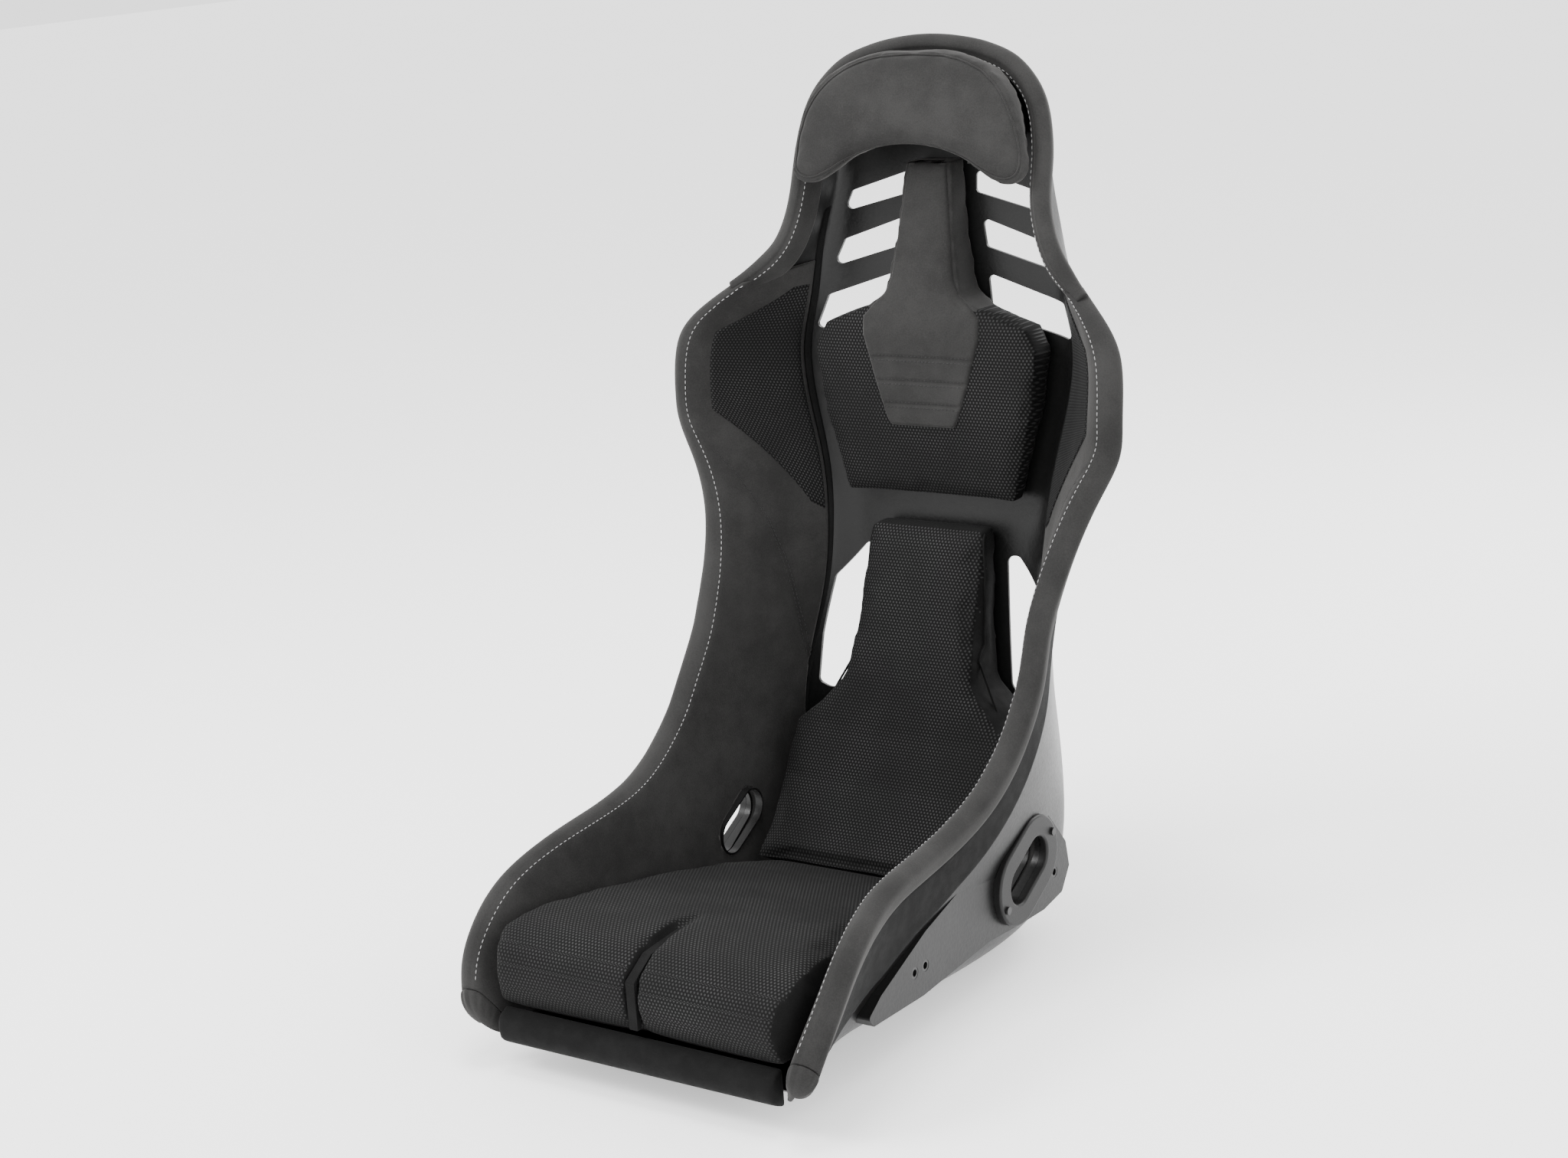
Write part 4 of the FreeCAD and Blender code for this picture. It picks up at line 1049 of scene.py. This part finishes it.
def cloth_map(piece, profile):
    """The cloth's UV map in metres: across the seat, and along the pad's own side view."""
    spots = coordinates(piece)
    line = np.array(profile, float) * MM
    steps = np.linalg.norm(np.diff(line, axis=0), axis=1)
    starts = np.concatenate([[0], np.cumsum(steps)])[:-1]
    best = np.full(len(spots), 1e9)
    along = np.zeros(len(spots))
    for first, second, step, start in zip(line, line[1:], steps, starts):
        run = (second - first) / step
        share = np.clip((spots[:, 1:] - first) @ run, 0, step)
        far = np.linalg.norm(spots[:, 1:] - first - share[:, None] * run, axis=1)
        closer = far < best
        best[closer] = far[closer]
        along[closer] = start + share[closer]
    layer = piece.data.uv_layers.new(name="cloth")
    picks = np.zeros(len(piece.data.loops), np.int32)
    piece.data.loops.foreach_get("vertex_index", picks)
    uv = np.stack([spots[picks, 0], along[picks]], axis=1).astype(np.float32)
    layer.data.foreach_set("uv", uv.ravel())


def second_finish(piece, finish, chosen):
    """Gives the faces that a rule picks by middle and normal another finish."""
    piece.data.materials.append(finish)
    for face in piece.data.polygons:
        if chosen(face.center, face.normal):
            face.material_index = 1


def finished_pad(piece, body, slot, finish, fill, *replaced):
    piece.data.polygons.foreach_set("use_smooth", [True] * len(piece.data.polygons))
    finish_piece(piece, body, slot, finish, *replaced)
    return piece


# %% [markdown]
# ### Seat cushion
# Two thigh lobes meet in a deep groove at the front and run together towards the hips.

# %% Seat cushion
CUSHION_PROFILE = [
    (-548, -16), (-553, 10), (-551, 40), (-535, 62), (-500, 74), (-460, 75), (-390, 66), (-290, 48),
    (-180, 22), (-93, -6),
]
cushion = blown_up(copy_of("seat_cushion", "seat_cushion_cover"), 0.0055, 3.0, 0.006, 0.003)
cushion.data.materials.clear()
cloth_map(cushion, CUSHION_PROFILE)
finished_pad(cushion, "seat_cushion", "mesh", mesh, 0.8, "seat_cushion")
second_finish(cushion, velour, lambda middle, way: abs(way.x) > 0.72)
groove = copy_of("cushion_groove_insert", "groove_trim")
apply_modifier(groove, "BEVEL", width=0.0012, segments=2)
finish_piece(groove, "seat_cushion", "velour", velour, "cushion_groove_insert")

# %% [markdown]
# ### Lumbar pad
# A bottle shape: narrow between the windows, wide over the hips. A piped seam follows the
# front edge, and the sides are a plain gusset.

# %% Lumbar pad
LUMBAR_PROFILE = [(-92, -10), (-60, 25), (-20, 80), (8, 137), (28, 200), (51, 263), (72, 320), (96, 382)]
LUMBAR_EDGE = [(75, 374), (81, 320), (84, 263), (91, 203), (124, 166), (150, 140), (158, 74), (156, 10)]
lumbar = blown_up(copy_of("lumbar_pad", "lumbar_cover"), 0.005, 3.0, 0.006, 0.003)
lumbar.data.materials.clear()
cloth_map(lumbar, LUMBAR_PROFILE)
finished_pad(lumbar, "lumbar_pad", "mesh", mesh, 0.8, "lumbar_pad")
second_finish(lumbar, velour, lambda middle, way: way.y > -0.35 and middle.z > 0.02)
for side_name, side in SIDES:
    places, ways = front_line(lumbar, [(side * x * MM, z * MM) for x, z in LUMBAR_EDGE], 120)
    line = [p + n * 0.2 * MM for p, n in zip(places, ways)]
    piping("lumbar_piping_" + side_name, line, 1.5 * MM, "lumbar_pad", "velour", velour)

# %% [markdown]
# ### Upper back pad
# A five-sided mesh pad with a suede neck that runs up between the slots. Three sewn
# channels cross the foot of the suede.

# %% Upper back pad
BACK_PROFILE = [(106, 400), (103, 500), (112, 645), (146, 808)]
CHANNELS = [(574, 68), (546, 60), (519, 52)]
back_pad = blown_up(copy_of("upper_back_pad", "upper_back_cover"), 0.0045, 3.0, 0.005, 0.0025)
back_pad.data.materials.clear()
cloth_map(back_pad, BACK_PROFILE)
finished_pad(back_pad, "upper_back_pad", "mesh", mesh, 0.8, "upper_back_pad")
second_finish(back_pad, suede, lambda middle, way: middle.z > 0.632 and abs(middle.x) < 0.075)
INSERT_HALF = [
    (494, 42), (500, 47), (519, 54), (546, 63), (574, 71), (600, 79), (622, 79), (634, 68), (650, 50),
    (668, 42), (720, 35), (800, 25),
]
INSERT_LOW, INSERT_HIGH, INSERT_STEP = 494.0, 800.0, 2.0
INSERT_THICK = 2.4 * MM
INSERT_COLUMNS = 48
finder = cloth_finder(back_pad)
upper, lower = [], []
for z in np.arange(INSERT_LOW, INSERT_HIGH + 0.1, INSERT_STEP):
    half = float(np.interp(z, [a for a, _ in INSERT_HALF], [b for _, b in INSERT_HALF]))
    near_end = min(z - INSERT_LOW, INSERT_HIGH - z)
    top, under = [], []
    for i in range(INSERT_COLUMNS + 1):
        x = half * (-1 + 2 * i / INSERT_COLUMNS)
        hit, _, _, _ = finder.ray_cast(Vector((x * MM, -1.0, z * MM)), Vector((0, 1, 0)))
        if hit is None:
            hit = Vector((x * MM, 0.13, z * MM))
        swell = min(1.0, min(half - abs(x), near_end) / 4.0)
        swell = math.sqrt(max(0.0, 1 - (1 - swell) ** 2))
        dip = sum(1.9 * math.exp(-((z - line - 1 + (x / 60) ** 2) / 2.2) ** 2) for line, _ in CHANNELS)
        rise = max(0.3 * MM, INSERT_THICK * swell - dip * MM * min(1.0, swell) + 0.4 * MM)
        top.append(hit - Vector((0, rise, 0)))
        under.append(hit + Vector((0, 0.4 * MM, 0)))
    upper.append(top)
    lower.append(under)
insert = tube("back_insert_cover", [top + under[::-1] for top, under in zip(upper, lower)])
finish_piece(insert, "upper_back_pad", "suede", suede, "back_pad_insert")
finder = cloth_finder(insert)
for number, (z, half) in enumerate(CHANNELS, start=1):
    for shift in (-3.0, 3.0):
        path = []
        for i in range(41):
            x = half * (-1 + 2 * i / 40)
            hit, _, _, _ = finder.ray_cast(Vector((x * MM, -1.0, (z + shift) * MM)), Vector((0, 1, 0)))
            path.append(hit if hit is not None else Vector((x * MM, 0.1, (z + shift) * MM)))
        name = "channel_stitches_%d_%s" % (number, "low" if shift < 0 else "high")
        places, ways = laid_on(finder, path)
        stitch_row(name, places, ways, 0.005, 0.0034, THREAD * 0.8, "upper_back_pad", "suede", black_thread)

# %% [markdown]
# ### Head pad
# An arched bean of suede with a piped front seam and a gusset round it.

# %% Head pad
HEAD_EDGE = [
    (0, 925), (50, 922), (92, 908), (122, 884), (141, 850), (150, 812), (148, 796), (136, 789),
    (114, 793), (84, 808), (45, 822), (0, 827),
]
head_pad = blown_up(copy_of("head_pad", "head_pad_cover"), 0.004, 3.5, 0.006, 0.0025)
head_pad.data.materials.clear()
full_edge = HEAD_EDGE + [(-x, z) for x, z in reversed(HEAD_EDGE[1:-1])] + [HEAD_EDGE[0]]
places, ways = front_line(head_pad, [(x * MM, z * MM) for x, z in full_edge], 260)
press_line(head_pad, places, 1.2 * MM, 3.0 * MM)
finished_pad(head_pad, "head_pad", "suede", suede, 0.85, "head_pad")
places, ways = front_line(head_pad, [(x * MM, z * MM) for x, z in full_edge], 260)
line = [p + n * 0.2 * MM for p, n in zip(places, ways)]
piping("head_pad_piping", line, 1.2 * MM, "head_pad", "suede", suede)

# %% [markdown]
# ## Front edge
# The shell's front lip is wrapped in velour, and the suede of each bolster is folded round
# the corner.

# %% Front roll and corner wraps
roll = copy_of("front_edge_roll", "front_roll_cover")
apply_modifier(roll, "REMESH", mode="VOXEL", voxel_size=0.004)
apply_modifier(roll, "SMOOTH", factor=0.5, iterations=6)
roll.data.polygons.foreach_set("use_smooth", [True] * len(roll.data.polygons))
finish_piece(roll, "seat", "velour", velour, "front_edge_roll")
CAP_STEPS = [(0.0, 1.0), (4, 1.02), (9, 0.99), (14, 0.92), (18, 0.80), (21, 0.62), (23, 0.38), (23.8, 0.15)]
CAP_BACK_STEP = 0.3
PLEAT_DEEP, PLEAT_TURN, PLEAT_REACH = 0.035, 0.9, 22
for side_name, side in SIDES:
    start = bolster_ring(BOLSTER_FIRST, side, RING_POINTS)
    behind = bolster_ring(BOLSTER_FIRST + CAP_BACK_STEP, side, RING_POINTS)
    centre = sum(start, Vector()) / len(start)
    way = (centre - sum(behind, Vector()) / len(behind)).normalized()
    way = (way * 0.45 + Vector((-0.25 * side, -0.35, -0.8)) * 0.75).normalized()
    rings = []
    for ahead, share in CAP_STEPS:
        ring = []
        for k, point in enumerate(start):
            swell = math.sin(math.pi * min(1.0, ahead / PLEAT_REACH))
            fold = 1 + PLEAT_DEEP * math.sin(k * PLEAT_TURN) * swell
            ring.append(centre + way * (ahead * MM) + (point - centre) * share * fold)
        rings.append(ring)
    cap = tube("corner_fold_" + side_name, rings)
    apply_modifier(cap, "SUBSURF", levels=1, render_levels=1)
    cap.data.polygons.foreach_set("use_smooth", [True] * len(cap.data.polygons))
    finish_piece(cap, "seat", "suede", suede, "corner_wrap_" + side_name)
